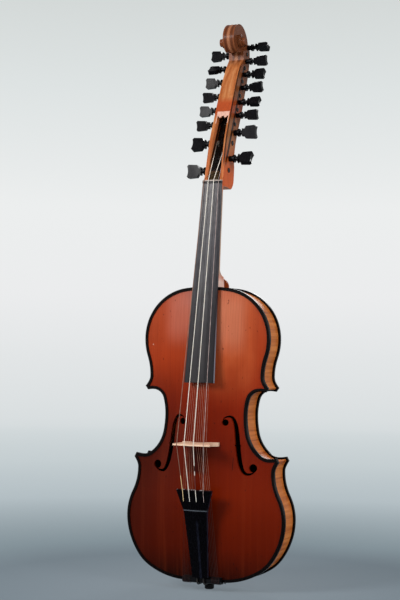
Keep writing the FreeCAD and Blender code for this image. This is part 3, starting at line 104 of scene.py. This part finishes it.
class Tree:
    """A material's node tree; coordinates are the row's own, in metres."""

    def __init__(self, name):
        self.material = bpy.data.materials.new(name)
        self.material.use_nodes = True
        self.nodes = self.material.node_tree.nodes
        self.links = self.material.node_tree.links
        self.shader = self.nodes["Principled BSDF"]
        self.place = self.nodes.new("ShaderNodeTexCoord").outputs["Object"]
        self.facing = self.nodes.new("ShaderNodeNewGeometry").outputs["True Normal"]

    def join(self, value, socket):
        if isinstance(value, bpy.types.NodeSocket):
            self.links.new(value, socket)
        else:
            socket.default_value = value

    def stretched(self, scale, turn):
        node = self.nodes.new("ShaderNodeMapping")
        self.links.new(self.place, node.inputs["Vector"])
        node.inputs["Scale"].default_value = scale
        node.inputs["Rotation"].default_value = turn
        return node.outputs["Vector"]

    def noise(self, scale, detail=3.0, distortion=0.0, turn=(0.0, 0.0, 0.0)):
        """Noise with its own scale along each axis, per metre."""
        node = self.nodes.new("ShaderNodeTexNoise")
        self.links.new(self.stretched(scale, turn), node.inputs["Vector"])
        node.inputs["Scale"].default_value = 1.0
        node.inputs["Detail"].default_value = detail
        node.inputs["Roughness"].default_value = NOISE_ROUGHNESS
        node.inputs["Distortion"].default_value = distortion
        return node.outputs["Fac"]

    def axis(self, name, source=None):
        node = self.nodes.new("ShaderNodeSeparateXYZ")
        self.links.new(source or self.place, node.inputs["Vector"])
        return node.outputs[name]

    def math(self, operation, first, second=0.0):
        node = self.nodes.new("ShaderNodeMath")
        node.operation = operation
        self.join(first, node.inputs[0])
        self.join(second, node.inputs[1])
        return node.outputs["Value"]

    def window(self, value, low, high, soft):
        """1 from low to high, falling to 0 over soft on both sides."""
        rise = self.between(value, low - soft, low)
        fall = self.between(value, high, high + soft, 1.0, 0.0)
        return self.math("MULTIPLY", rise, fall)

    def all_of(self, *shares):
        product = shares[0]
        for share in shares[1:]:
            product = self.math("MULTIPLY", product, share)
        return product

    def sloped(self, first, factor, second, start=0.0):
        """first + factor * (second - start)"""
        return self.math("ADD", first, self.math("MULTIPLY", factor, self.math("SUBTRACT", second, start)))

    def between(self, value, low, high, to_low=0.0, to_high=1.0, smooth=True):
        """value from low to high, made to_low to to_high and kept inside."""
        node = self.nodes.new("ShaderNodeMapRange")
        node.interpolation_type = "SMOOTHSTEP" if smooth else "LINEAR"
        self.join(value, node.inputs["Value"])
        node.inputs["From Min"].default_value = low
        node.inputs["From Max"].default_value = high
        node.inputs["To Min"].default_value = to_low
        node.inputs["To Max"].default_value = to_high
        return node.outputs["Result"]

    def mix(self, share, first, second):
        """first, with a share of second over it."""
        node = self.nodes.new("ShaderNodeMix")
        node.data_type = "RGBA"
        self.join(share, node.inputs["Factor"])
        self.join(first, node.inputs["A"])
        self.join(second, node.inputs["B"])
        return node.outputs["Result"]

    def ramp(self, value, stops):
        """Colours along value, each stop a place and a colour."""
        node = self.nodes.new("ShaderNodeValToRGB")
        self.links.new(value, node.inputs["Fac"])
        elements = node.color_ramp.elements
        while len(elements) < len(stops):
            elements.new(0.5)
        for element, (place, tint) in zip(elements, stops):
            element.position = place
            element.color = tint
        return node.outputs["Color"]

    def bump(self, height, distance, strength):
        node = self.nodes.new("ShaderNodeBump")
        node.inputs["Distance"].default_value = distance
        node.inputs["Strength"].default_value = strength
        self.links.new(height, node.inputs["Height"])
        self.links.new(node.outputs["Normal"], self.shader.inputs["Normal"])

    def finish(self, color, roughness, **constants):
        self.join(color, self.shader.inputs["Base Color"])
        self.join(roughness, self.shader.inputs["Roughness"])
        for name, value in constants.items():
            self.shader.inputs[name.replace("_", " ")].default_value = value
        return self.material


def shade(red, green, blue):
    """A colour given as the display's 0 to 255 values."""
    return tuple(((part / 255.0 + 0.055) / 1.055) ** 2.4 if part > 10 else part / 255.0 / 12.92
                 for part in (red, green, blue)) + (1.0,)


# Materials

def spruce_varnish():
    """Red-brown varnish over straight spruce, with painted shade from orange in the upper bout to near
    black at the lower left and under the bridge, and painted highlights on the upper bout.
    """
    tree = Tree("spruce_varnish")
    across = tree.axis("X")
    height = tree.axis("Z")
    fine = tree.noise((1300.0, 200.0, 7.0), detail=2.0)
    broad = tree.noise((150.0, 60.0, 2.5), detail=3.0)
    cloud = tree.noise((16.0, 11.0, 12.0), detail=3.0)
    specks = tree.noise((300.0, 300.0, 200.0), detail=1.0)
    # painted shade: the varnish darkens from orange at the top of the front to near black at the bottom
    wavy = tree.sloped(height, 0.035, cloud, 0.5)
    shaded_varnish = tree.ramp(tree.between(wavy, PLATE_LOW, PLATE_HIGH, smooth=False), [
        (0.02, shade(34, 5, 0)), (0.12, shade(94, 19, 0)), (0.30, shade(118, 27, 0)),
        (0.46, shade(110, 22, 0)), (0.62, shade(138, 33, 5)), (0.76, shade(164, 55, 20)),
        (0.90, shade(170, 66, 32)), (1.0, shade(168, 70, 42))])
    # painted shadow over the lower left of the front
    low = tree.between(height, 0.20, 0.32, 1.0, 0.0)
    leaning = tree.sloped(across, -0.25, height, 0.15)
    left = tree.between(leaning, -0.105, 0.03, 1.0, 0.0, smooth=False)
    shadow = tree.mix(tree.all_of(low, left, 0.80), shaded_varnish, shade(36, 5, 0))
    # painted shadow on the front just under the bridge
    bridge_shadow = tree.all_of(tree.window(across, -0.016, 0.004, 0.008),
                               tree.window(height, 0.164, 0.188, 0.008))
    bridge_shadowed = tree.mix(tree.math("MULTIPLY", bridge_shadow, 0.75), shadow, shade(28, 6, 3))
    worn = tree.all_of(tree.between(height, 0.24, 0.33), tree.window(across, 0.020, 0.058, 0.022),
                       tree.between(cloud, 0.3, 0.7, 0.25, 0.75))
    rubbed = tree.mix(worn, bridge_shadowed, shade(204, 102, 58))
    # painted highlights: paler pinkish patches on the upper bout left and right of the fingerboard
    left_highlight = tree.all_of(tree.window(across, -0.044, -0.018, 0.024),
                             tree.window(height, 0.362, 0.386, 0.040))
    right_highlight = tree.all_of(tree.window(across, 0.026, 0.044, 0.022),
                              tree.window(height, 0.350, 0.380, 0.040))
    left_highlighted = tree.mix(tree.math("MULTIPLY", left_highlight, 0.40), rubbed, shade(204, 124, 104))
    right_highlighted = tree.mix(tree.math("MULTIPLY", right_highlight, 0.36), left_highlighted, shade(220, 146, 114))
    streaks = tree.mix(tree.between(fine, 0.35, 0.65, 0.0, 0.16), right_highlighted, shade(70, 18, 6))
    bands = tree.mix(tree.between(broad, 0.45, 0.75, 0.0, 0.07), streaks, shade(176, 70, 30))
    clouds = tree.mix(tree.between(cloud, 0.5, 0.75, 0.0, 0.22), bands, shade(88, 20, 6))
    marks = tree.mix(tree.between(specks, 0.73, 0.77, 0.0, 0.6), clouds, shade(42, 12, 8))
    crack = tree.all_of(tree.window(tree.sloped(across, -0.05, height, 0.17), 0.0430, 0.0434, 0.0003),
                        tree.window(height, 0.166, 0.181, 0.002))
    cracked = tree.mix(crack, marks, shade(30, 8, 5))
    chip = tree.all_of(tree.window(across, -0.0804, -0.0796, 0.0004),
                       tree.window(height, 0.3322, 0.3332, 0.0004), 0.7)
    chipped = tree.mix(chip, cracked, shade(236, 214, 196))
    tree.bump(fine, 0.00005, 0.5)
    return tree.finish(chipped, tree.between(broad, 0.3, 0.7, 0.36, 0.46), Coat_Weight=0.10,
                       Coat_Roughness=0.2, Specular_IOR_Level=0.03)


def flamed_maple(name, light, middle, dark, flame_scale, turn=(0.0, 0.0, 0.0),
                 grain_scale=(300.0, 300.0, 20.0), inside=None):
    """Varnished maple with its flame across the grain.
    inside is the colour of a painted shade on faces that look to the front from inside the closed body."""
    tree = Tree(name)
    flame = tree.noise(flame_scale, detail=2.5, distortion=0.6, turn=turn)
    grain = tree.noise(grain_scale, detail=2.0)
    cloud = tree.noise((12.0, 12.0, 9.0), detail=2.0)
    figure = tree.ramp(flame, [(0.30, dark), (0.48, middle), (0.66, light)])
    lines = tree.mix(tree.between(grain, 0.4, 0.7, 0.0, 0.22), figure, dark)
    colour = tree.mix(tree.between(cloud, 0.4, 0.75, 0.0, 0.3), lines, middle)
    if inside is not None:
        # painted shade on the faces that look to the front inside the closed body
        inside_shade = tree.all_of(tree.between(tree.axis("Y", tree.facing), -0.5, -0.3, 1.0, 0.0),
                                tree.between(tree.axis("Z"), *INSIDE_TOP, 1.0, 0.0))
        colour = tree.mix(inside_shade, colour, inside)
    tree.bump(grain, 0.00005, 0.5)
    return tree.finish(colour, tree.between(flame, 0.3, 0.7, 0.32, 0.42), Coat_Weight=0.09,
                       Coat_Roughness=0.2, Specular_IOR_Level=0.03)


def head_maple():
    """One carved piece: varnished head, bare hand-worn neck and pale heel, with painted shade on the head's
    right side, in the scroll's flutes and inside the pegbox, painted light on the left cheek's inner face
    and a painted highlight on the scroll's middle ridge.
    """
    tree = Tree("head_maple")
    across = tree.axis("X")
    height = tree.axis("Z")
    sideways = tree.axis("X", tree.facing)
    forward = tree.axis("Y", tree.facing)
    flame = tree.noise((190.0, 60.0, 13.0), detail=2.5, distortion=0.3)
    grain = tree.noise((420.0, 420.0, 24.0), detail=2.0)
    streaked = tree.ramp(flame, [(0.30, shade(160, 84, 40)), (0.50, shade(184, 110, 62)),
                                 (0.70, shade(200, 132, 84))])
    # painted shade on the faces that look to the right, deeper towards the top of the head
    shaded_side = tree.all_of(tree.between(sideways, 0.4, 0.8), tree.between(height, 0.60, 0.68, 0.15, 0.8))
    shaded_varnish = tree.mix(shaded_side, streaked, shade(124, 64, 32))
    chin_side = tree.all_of(tree.between(height, 0.56, 0.62, 1.0, 0.0),
                            tree.between(sideways, 0.2, 0.5, 0.2, 1.0))
    chin = tree.mix(chin_side, shaded_varnish, shade(228, 98, 36))
    above_band = tree.mix(tree.window(height, 0.656, 0.668, 0.012), chin, shade(172, 74, 36))
    scroll = tree.mix(tree.between(height, 0.722, 0.742, 0.0, 0.85), above_band, shade(112, 60, 36))
    # painted shade in the scroll's two flutes and a painted highlight on its middle ridge
    from_middle = tree.math("ABSOLUTE", across)
    fluted = tree.all_of(tree.between(height, 0.726, 0.736),
                         tree.between(sideways, 0.2, 0.5, 1.0, 0.0))
    flute_shade = tree.all_of(fluted, tree.window(from_middle, 0.0036, 0.0056, 0.0014), 0.6)
    scroll_ridge_highlight = tree.all_of(fluted, tree.between(from_middle, 0.0010, 0.0026, 1.0, 0.0), 0.45)
    shaded_relief = tree.mix(scroll_ridge_highlight, tree.mix(flute_shade, scroll, shade(60, 26, 14)), shade(196, 134, 98))
    bare = tree.ramp(grain, [(0.35, shade(206, 164, 140)), (0.65, shade(226, 192, 170))])
    low = tree.between(height, 0.420, 0.432)
    high = tree.between(height, 0.535, 0.552, 1.0, 0.0)
    neck = tree.mix(tree.math("MULTIPLY", low, high), shaded_relief, bare)
    heel = tree.mix(tree.between(height, 0.418, 0.428, 1.0, 0.0), neck, shade(255, 216, 200))
    open_part = tree.window(height, *PEGBOX_OPEN, 0.0005)
    depth = tree.sloped(tree.math("ADD", tree.axis("Y"), HEAD_FRONT_OUT), -HEAD_LEAN, height, NUT_LEVEL)
    left_cheek = tree.all_of(open_part, tree.between(sideways, 0.6, 0.9),
                             tree.window(across, -0.0112, 0.0, 0.0004))
    lit = tree.mix(left_cheek, heel, shade(214, 128, 78))
    lip = tree.all_of(tree.window(height, *BAND, 0.001), tree.between(forward, -0.3, -0.6))
    middle_lip = tree.all_of(lip, tree.window(across, -0.0088, 0.0088, 0.0006))
    banded = tree.mix(middle_lip, lit, shade(226, 176, 156))
    right_edge = tree.sloped(across, HEAD_TAPER, height, NUT_LEVEL)
    long_edge = tree.all_of(tree.between(height, 0.572, 0.590),
                            tree.between(height, 0.722, 0.735, 1.0, 0.0))
    front_line = tree.all_of(tree.window(right_edge, 0.0118, 0.0160, 0.0003),
                             tree.between(forward, -0.1, -0.3))
    side_line = tree.all_of(tree.between(sideways, 0.3, 0.5),
                            tree.window(depth, -0.004, 0.0016, 0.0006))
    line = tree.all_of(tree.math("MAXIMUM", front_line, side_line), long_edge, 0.92)
    edged = tree.mix(line, banded, shade(34, 13, 9))
    grained = tree.mix(tree.between(grain, 0.45, 0.7, 0.0, 0.18), edged, shade(96, 46, 26))
    # painted shade, near black, inside the open pegbox
    hollow_shade = tree.all_of(open_part, tree.window(across, -PEGBOX_HALF, PEGBOX_HALF, 0.0003),
                         tree.between(depth, 0.0008, 0.0065), tree.between(forward, 0.3, 0.6, 1.0, 0.0))
    lines = tree.mix(hollow_shade, grained, shade(9, 4, 3))
    tree.bump(grain, 0.00006, 0.6)
    return tree.finish(lines, tree.between(grain, 0.3, 0.7, 0.34, 0.46), Coat_Weight=0.07,
                       Coat_Roughness=0.22, Specular_IOR_Level=0.05)


def ebony(name, base, sheen, roughness, specular):
    """Black hardwood with fine pores along its length."""
    tree = Tree(name)
    pores = tree.noise((900.0, 900.0, 40.0), detail=2.0)
    cloud = tree.noise((60.0, 60.0, 30.0), detail=2.0)
    colour = tree.mix(tree.between(pores, 0.4, 0.7, 0.0, 0.6), base, sheen)
    tree.bump(pores, 0.00004, 0.5)
    return tree.finish(colour, tree.between(cloud, 0.3, 0.7, roughness - 0.05, roughness + 0.07),
                       Specular_IOR_Level=specular)


def fingerboard_ebony():
    """Black, with a painted sheen that turns it grey towards the nut, painted shade over the right half and
    a painted highlight on its right side.
    """
    tree = Tree("fingerboard_ebony")
    across = tree.axis("X")
    height = tree.axis("Z")
    pores = tree.noise((1100.0, 900.0, 30.0), detail=2.0)
    streak = tree.noise((260.0, 200.0, 5.0), detail=2.0)
    # painted sheen: lighter grey towards the nut
    painted_sheen = tree.ramp(tree.between(height, 0.28, 0.553, smooth=False), [
        (0.0, shade(34, 31, 33)), (0.35, shade(52, 48, 51)), (0.7, shade(86, 83, 86)),
        (1.0, shade(118, 113, 114))])
    rubbed = tree.mix(tree.between(streak, 0.45, 0.7, 0.0, 0.35), painted_sheen, shade(36, 33, 38))
    pored = tree.mix(tree.between(pores, 0.45, 0.7, 0.0, 0.45), rubbed, shade(28, 26, 28))
    # painted shade over the right half of the top
    right_half_shade = tree.between(across, 0.004, 0.018, 0.0, 0.45)
    shaded = tree.mix(right_half_shade, pored, shade(26, 24, 28))
    # painted highlight on the right side face, strongest low on the board
    rim_highlight = tree.all_of(tree.between(tree.axis("X", tree.facing), 0.6, 0.8), tree.between(height, 0.40, 0.31))
    rim_highlighted = tree.mix(rim_highlight, shaded, shade(150, 158, 172))
    tree.bump(pores, 0.00003, 0.4)
    return tree.finish(rim_highlighted, tree.between(streak, 0.3, 0.7, 0.36, 0.46), Specular_IOR_Level=0.12)


def nut_ebony():
    """Black nut with a thin pale line where it meets the head."""
    tree = Tree("nut_ebony")
    height = tree.axis("Z")
    pores = tree.noise((900.0, 900.0, 90.0), detail=2.0)
    colour = tree.mix(tree.between(pores, 0.4, 0.7, 0.0, 0.5), shade(18, 16, 18), shade(44, 40, 42))
    lined = tree.mix(tree.window(height, 0.5562, 0.5574, 0.0003), colour, shade(176, 160, 150))
    return tree.finish(lined, tree.between(pores, 0.3, 0.7, 0.30, 0.42), Specular_IOR_Level=0.2)


def tailpiece_ebony():
    """Polished black, with a pale cross line and painted bluish highlights along the ridge and on the right
    side.
    """
    tree = Tree("tailpiece_ebony")
    across = tree.axis("X")
    height = tree.axis("Z")
    pores = tree.noise((900.0, 900.0, 40.0), detail=2.0)
    colour = tree.mix(tree.between(pores, 0.4, 0.7, 0.0, 0.6), shade(3, 2, 4), shade(10, 9, 13))
    fret = tree.all_of(tree.window(height, 0.1108, 0.1118, 0.0004),
                       tree.between(tree.axis("Y", tree.facing), -0.5, -0.7))
    crossed = tree.mix(fret, colour, shade(78, 82, 88))
    # painted highlight along the ridge
    tail_ridge_highlight = tree.all_of(tree.window(across, 0.0016, 0.0034, 0.0012),
                        tree.between(height, 0.100, 0.092),
                        tree.between(pores, 0.3, 0.6, 0.2, 0.8))
    tail_ridge_highlighted = tree.mix(tail_ridge_highlight, crossed, shade(28, 30, 42))
    # painted bluish highlight on the faces that look to the right
    flank_highlight = tree.all_of(tree.between(tree.axis("X", tree.facing), 0.6, 0.85),
                        tree.between(pores, 0.25, 0.6))
    flank_highlighted = tree.mix(tree.math("MULTIPLY", flank_highlight, 0.7), tail_ridge_highlighted, shade(52, 50, 66))
    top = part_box("tailpiece")[1][2]
    bits = tree.noise((420.0, 40.0, 40.0), detail=1.0)
    scuffs = tree.all_of(tree.between(height, top - 0.0009, top - 0.0005),
                         tree.between(bits, 0.5, 0.56), 0.7)
    scuffed = tree.mix(scuffs, flank_highlighted, shade(206, 204, 204))
    tree.bump(pores, 0.00003, 0.5)
    return tree.finish(scuffed, tree.between(pores, 0.3, 0.7, 0.20, 0.30), Specular_IOR_Level=0.05)


def plain_wood():
    """Unvarnished wood inside the closed body, brown with age and dust."""
    tree = Tree("plain_wood")
    grain = tree.noise((300.0, 300.0, 12.0), detail=3.0)
    colour = tree.ramp(grain, [(0.3, shade(74, 46, 26)), (0.7, shade(104, 70, 42))])
    return tree.finish(colour, tree.between(grain, 0.3, 0.7, 0.6, 0.75))


def bridge_maple():
    """Pale bare maple with short flecks."""
    tree = Tree("bridge_maple")
    flecks = tree.noise((500.0, 500.0, 1400.0), detail=2.0)
    rays = tree.noise((90.0, 400.0, 700.0), detail=2.0)
    colour = tree.ramp(flecks, [(0.35, shade(236, 182, 148)), (0.65, shade(255, 220, 190))])
    flecked = tree.mix(tree.between(rays, 0.5, 0.7, 0.0, 0.35), colour, shade(200, 140, 108))
    tree.bump(flecks, 0.00003, 0.5)
    return tree.finish(flecked, tree.between(flecks, 0.3, 0.7, 0.45, 0.6))


def string_material(name, light, dark, roughness, metallic, stretches=()):
    """A string's colour; stretches are pieces of other colour, each from one height to another."""
    tree = Tree(name)
    patches = tree.noise((700.0, 700.0, 90.0), detail=2.0)
    colour = tree.ramp(patches, [(0.35, dark), (0.6, light)])
    for low, high, other in stretches:
        colour = tree.mix(tree.window(tree.axis("Z"), low, high, 0.0006), colour, other)
    rough = tree.between(patches, 0.3, 0.7, roughness - 0.05, roughness + 0.1)
    return tree.finish(colour, rough, Metallic=metallic)


def dress_nodes():
    """Each node gets the material of its slot, or its own where it has one."""
    white_gut = shade(252, 244, 232)
    cream_gut = shade(236, 222, 204)
    materials = {
        "spruce_varnish": spruce_varnish(),
        # the back plate gets a near-black painted shade inside the body
        "maple_varnish": flamed_maple("maple_varnish", shade(190, 100, 46), shade(154, 72, 30),
                                      shade(112, 46, 20), (14.0, 14.0, 120.0), turn=(0.0, 0.06, 0.0),
                                      inside=shade(30, 18, 12)),
        "rib_maple": flamed_maple("rib_maple", shade(240, 146, 76), shade(216, 120, 54),
                                  shade(176, 86, 34), (120.0, 8.0, 190.0),
                                  grain_scale=(60.0, 900.0, 60.0)),
        "black_edging": ebony("black_edging", shade(8, 5, 5), shade(22, 15, 14), 0.22, 0.06),
        "plain_wood": plain_wood(),
        "head_maple": head_maple(),
        "ebony": ebony("ebony", shade(9, 8, 10), shade(26, 24, 27), 0.34, 0.15),
        "peg_ebony": ebony("peg_ebony", shade(9, 8, 10), shade(24, 23, 27), 0.28, 0.06),
        "bridge_maple": bridge_maple(),
        "wound_string": string_material("wound_string", shade(150, 112, 92), shade(104, 72, 58), 0.45, 0.0,
                                        [(0.110, 0.158, shade(238, 206, 150))]),
        "gut": string_material("gut", white_gut, cream_gut, 0.4, 0.0),
        # thin_wire is near black above 0.571 m, a painted shade on the strings inside the pegbox
        "thin_wire": string_material("thin_wire", shade(176, 118, 90), shade(128, 76, 54), 0.4, 0.0,
                                     [(0.0, 0.125, shade(58, 18, 9)), (0.5565, 0.570, shade(104, 80, 46)),
                                      (0.571, 0.79, shade(20, 12, 8))]),
        "pin_steel": string_material("pin_steel", shade(60, 56, 56), shade(34, 31, 31), 0.4, 0.6),
        "tail_gut": string_material("tail_gut", shade(36, 27, 22), shade(22, 16, 14), 0.45, 0.0),
    }
    own = {
        "fingerboard": fingerboard_ebony(),
        "nut": nut_ebony(),
        "tailpiece": tailpiece_ebony(),
        # string_3: the near-black stretch from 0.1655 to 0.1720 m is a painted shadow below the bridge; the
        # brownish stretch lower down is darker gut
        "string_3": string_material("gut_with_painted_shadow", white_gut, cream_gut, 0.4, 0.0,
                                    [(0.1655, 0.1720, shade(34, 16, 14)),
                                     (0.1400, 0.1590, shade(96, 52, 44))]),
        "string_4": string_material("treble_gut", shade(196, 176, 170), shade(150, 122, 116), 0.4, 0.0),
    }
    slots = {entry["node"]: entry["material_slot"] for entry in frame["record"]["subparts"]}
    for name, item in NODES.items():
        for place in item.material_slots:
            place.link = "OBJECT"
            place.material = own.get(name, materials[slots[name]])


# Neck under the fingerboard, in metres; COVER is how far the piece stands outside the solid

BOARD_TOP = 0.5530
BOARD_TOP_OUT = 0.0053
BOARD_FALL = 0.0357 / 0.2713
BOARD_TOP_HALF = 0.0139
BOARD_SPREAD = 0.0076 / 0.2713
SHOULDER = 0.003
BACK_ROUNDING = 0.44
COVER = 0.00012
SHARP_ANGLE = math.radians(24.0)


def neck_root():
    """Lower neck that curves out into the heel, flat under the fingerboard and round behind.
    Each station is a level, the y of the back there, and half the width where the round back starts."""
    stations = [(0.4264, 0.01700, 0.0114), (0.4274, 0.01350, 0.0111), (0.4290, 0.01050, 0.0109),
                (0.4315, 0.00800, 0.0108), (0.4345, 0.00630, 0.0107), (0.4385, 0.00500, 0.0107),
                (0.4430, 0.00420, 0.0107), (0.4480, 0.00370, 0.0106), (0.4540, 0.00345, 0.0105),
                (0.4600, 0.00345, 0.0104), (0.4660, 0.00380, 0.0103), (0.4720, 0.00440, 0.0102)]
    arc_steps = 12
    rings = []
    for level, back, back_half in stations:
        below_top = BOARD_TOP - level
        front = -BOARD_TOP_OUT - BOARD_FALL * below_top
        half = BOARD_TOP_HALF + BOARD_SPREAD * below_top + COVER
        shoulder = front + SHOULDER
        turn = back - BACK_ROUNDING * (back - shoulder)
        side_half = back_half + COVER
        rise = back + COVER - turn
        radius = (side_half ** 2 + rise ** 2) / (2.0 * rise)
        centre = back + COVER - radius
        reach = math.atan2(side_half, turn - centre)
        ring = [(half, front + COVER), (half, shoulder)]
        for step in range(arc_steps + 1):
            angle = reach * (1.0 - 2.0 * step / arc_steps)
            ring.append((radius * math.sin(angle), centre + radius * math.cos(angle)))
        ring += [(-half, shoulder), (-half, front + COVER)]
        rings.append([(x, y, level) for x, y in ring])
    around = len(rings[0])
    build = bmesh.new()
    points = [[build.verts.new(place) for place in ring] for ring in rings]
    for lower, upper in zip(points, points[1:]):
        for place in range(around):
            after = (place + 1) % around
            face = build.faces.new((lower[place], lower[after], upper[after], upper[place]))
            face.smooth = True
    build.faces.new(points[0])
    build.faces.new(points[-1][::-1])
    bmesh.ops.recalc_face_normals(build, faces=build.faces[:])
    for edge in build.edges:
        if edge.calc_face_angle() > SHARP_ANGLE:
            edge.smooth = False
    mesh = bpy.data.meshes.new("neck_root")
    build.to_mesh(mesh)
    build.free()
    root = bpy.data.objects.new("neck_root", mesh)
    SCENE.collection.objects.link(root)
    root.data.materials.append(NODES["neck_and_head"].material_slots[0].material)
    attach(root, "instrument")


# Studio

def studio_surface(material_name, stops, along):
    """Pale matt surface whose colour changes along a value; it glows at that written colour for camera,
    glossy and transmission rays, and the colours hold a painted falloff of the light.
    Near the object part of it is lit, so that it takes the object's shadow."""
    tree = Tree(material_name)
    value, from_object = along(tree)
    colour = tree.ramp(value, stops)
    tree.finish(colour, 0.9, Specular_IOR_Level=0.0)
    glow = tree.nodes.new("ShaderNodeEmission")
    tree.links.new(colour, glow.inputs["Color"])
    path = tree.nodes.new("ShaderNodeLightPath")
    own_light = tree.between(from_object, 0.2, 1.5, 0.55, 1.0)
    mirrored = tree.math("MAXIMUM", path.outputs["Is Camera Ray"], path.outputs["Is Glossy Ray"])
    seen = tree.math("MAXIMUM", mirrored, path.outputs["Is Transmission Ray"])
    share = tree.math("MULTIPLY", seen, own_light)
    blend = tree.nodes.new("ShaderNodeMixShader")
    tree.links.new(share, blend.inputs["Fac"])
    tree.links.new(tree.shader.outputs["BSDF"], blend.inputs[1])
    tree.links.new(glow.outputs["Emission"], blend.inputs[2])
    output = tree.nodes["Material Output"]
    tree.links.new(blend.outputs["Shader"], output.inputs["Surface"])
    return tree.material


def studio():
    """A round floor that curves up into a wall on all sides."""
    floor_radius = 4.0
    cove = 1.2
    wall_height = 6.0
    reach = 8.0
    profile = [(0.0, 0.0), (0.5, 0.0), (1.0, 0.0), (2.0, 0.0), (floor_radius, 0.0)]
    cove_steps = 8
    for step in range(1, cove_steps + 1):
        angle = step * math.pi / 2.0 / cove_steps
        profile.append((floor_radius + cove * math.sin(angle), cove * (1.0 - math.cos(angle))))
    profile.append((floor_radius + cove, wall_height))
    around = 64
    vertices = []
    faces = []
    for radius, height in profile:
        for turn in range(around):
            angle = 2.0 * math.pi * turn / around
            vertices.append((radius * math.cos(angle), radius * math.sin(angle), height))
    for ring in range(len(profile) - 1):
        for turn in range(around):
            after = (turn + 1) % around
            faces.append((ring * around + turn, ring * around + after,
                          (ring + 1) * around + after, (ring + 1) * around + turn))
    mesh = bpy.data.meshes.new("studio_floor")
    mesh.from_pydata(vertices, [], faces)
    for face in mesh.polygons:
        face.use_smooth = True
    floor = bpy.data.objects.new("studio_floor", mesh)
    SCENE.collection.objects.link(floor)

    def outward(tree):
        """The way out over the floor and up the wall, as a share, and the distance from the middle."""
        x = tree.axis("X")
        y = tree.axis("Y")
        z = tree.axis("Z")
        flat = tree.math("SQRT", tree.math("ADD", tree.math("MULTIPLY", x, x), tree.math("MULTIPLY", y, y)))
        return tree.between(tree.math("ADD", flat, z), 0.0, reach, smooth=False), flat

    # painted falloff of the light: darker on the floor near the object and towards the top of the wall
    distances = [(0.0, (142, 153, 161)), (0.15, (134, 145, 153)), (0.35, (122, 134, 142)),
                 (0.5, (136, 150, 157)), (1.2, (180, 191, 196)), (2.2, (197, 206, 209)),
                 (3.6, (209, 216, 218)), (5.0, (226, 229, 230)), (5.6, (235, 236, 237)),
                 (6.2, (236, 238, 238)), (6.8, (222, 227, 227)), (7.3, (210, 215, 214)),
                 (8.0, (198, 204, 206))]
    stops = [(distance / reach, shade(*colour)) for distance, colour in distances]
    floor.data.materials.append(studio_surface("studio_surface", stops, outward))


def area_light(name, place, target, size, power):
    data = bpy.data.lights.new(name, "AREA")
    data.shape = "RECTANGLE"
    data.size = size[0]
    data.size_y = size[1]
    data.energy = power
    light = bpy.data.objects.new(name, data)
    SCENE.collection.objects.link(light)
    light.location = place
    light.rotation_euler = (Vector(target) - Vector(place)).to_track_quat("-Z", "Y").to_euler()


def lights():
    world = bpy.data.worlds.new("studio_world")
    SCENE.world = world
    world.use_nodes = True
    background = world.node_tree.nodes["Background"]
    background.inputs["Color"].default_value = (0.95, 0.96, 0.98, 1.0)
    background.inputs["Strength"].default_value = 0.5
    area_light("key_light", (-0.95, -1.72, 1.22), (0.0, 0.0, 0.42), (0.7, 0.7), 35.0)
    area_light("fill_light", (1.9, -0.9, 1.0), (0.0, 0.0, 0.40), (0.9, 1.4), 17.0)
    area_light("back_light", (-0.35, 1.9, 1.3), (0.0, 0.0, 0.45), (0.9, 0.9), 13.0)


photo_camera()
dress_nodes()
neck_root()
studio()
lights()
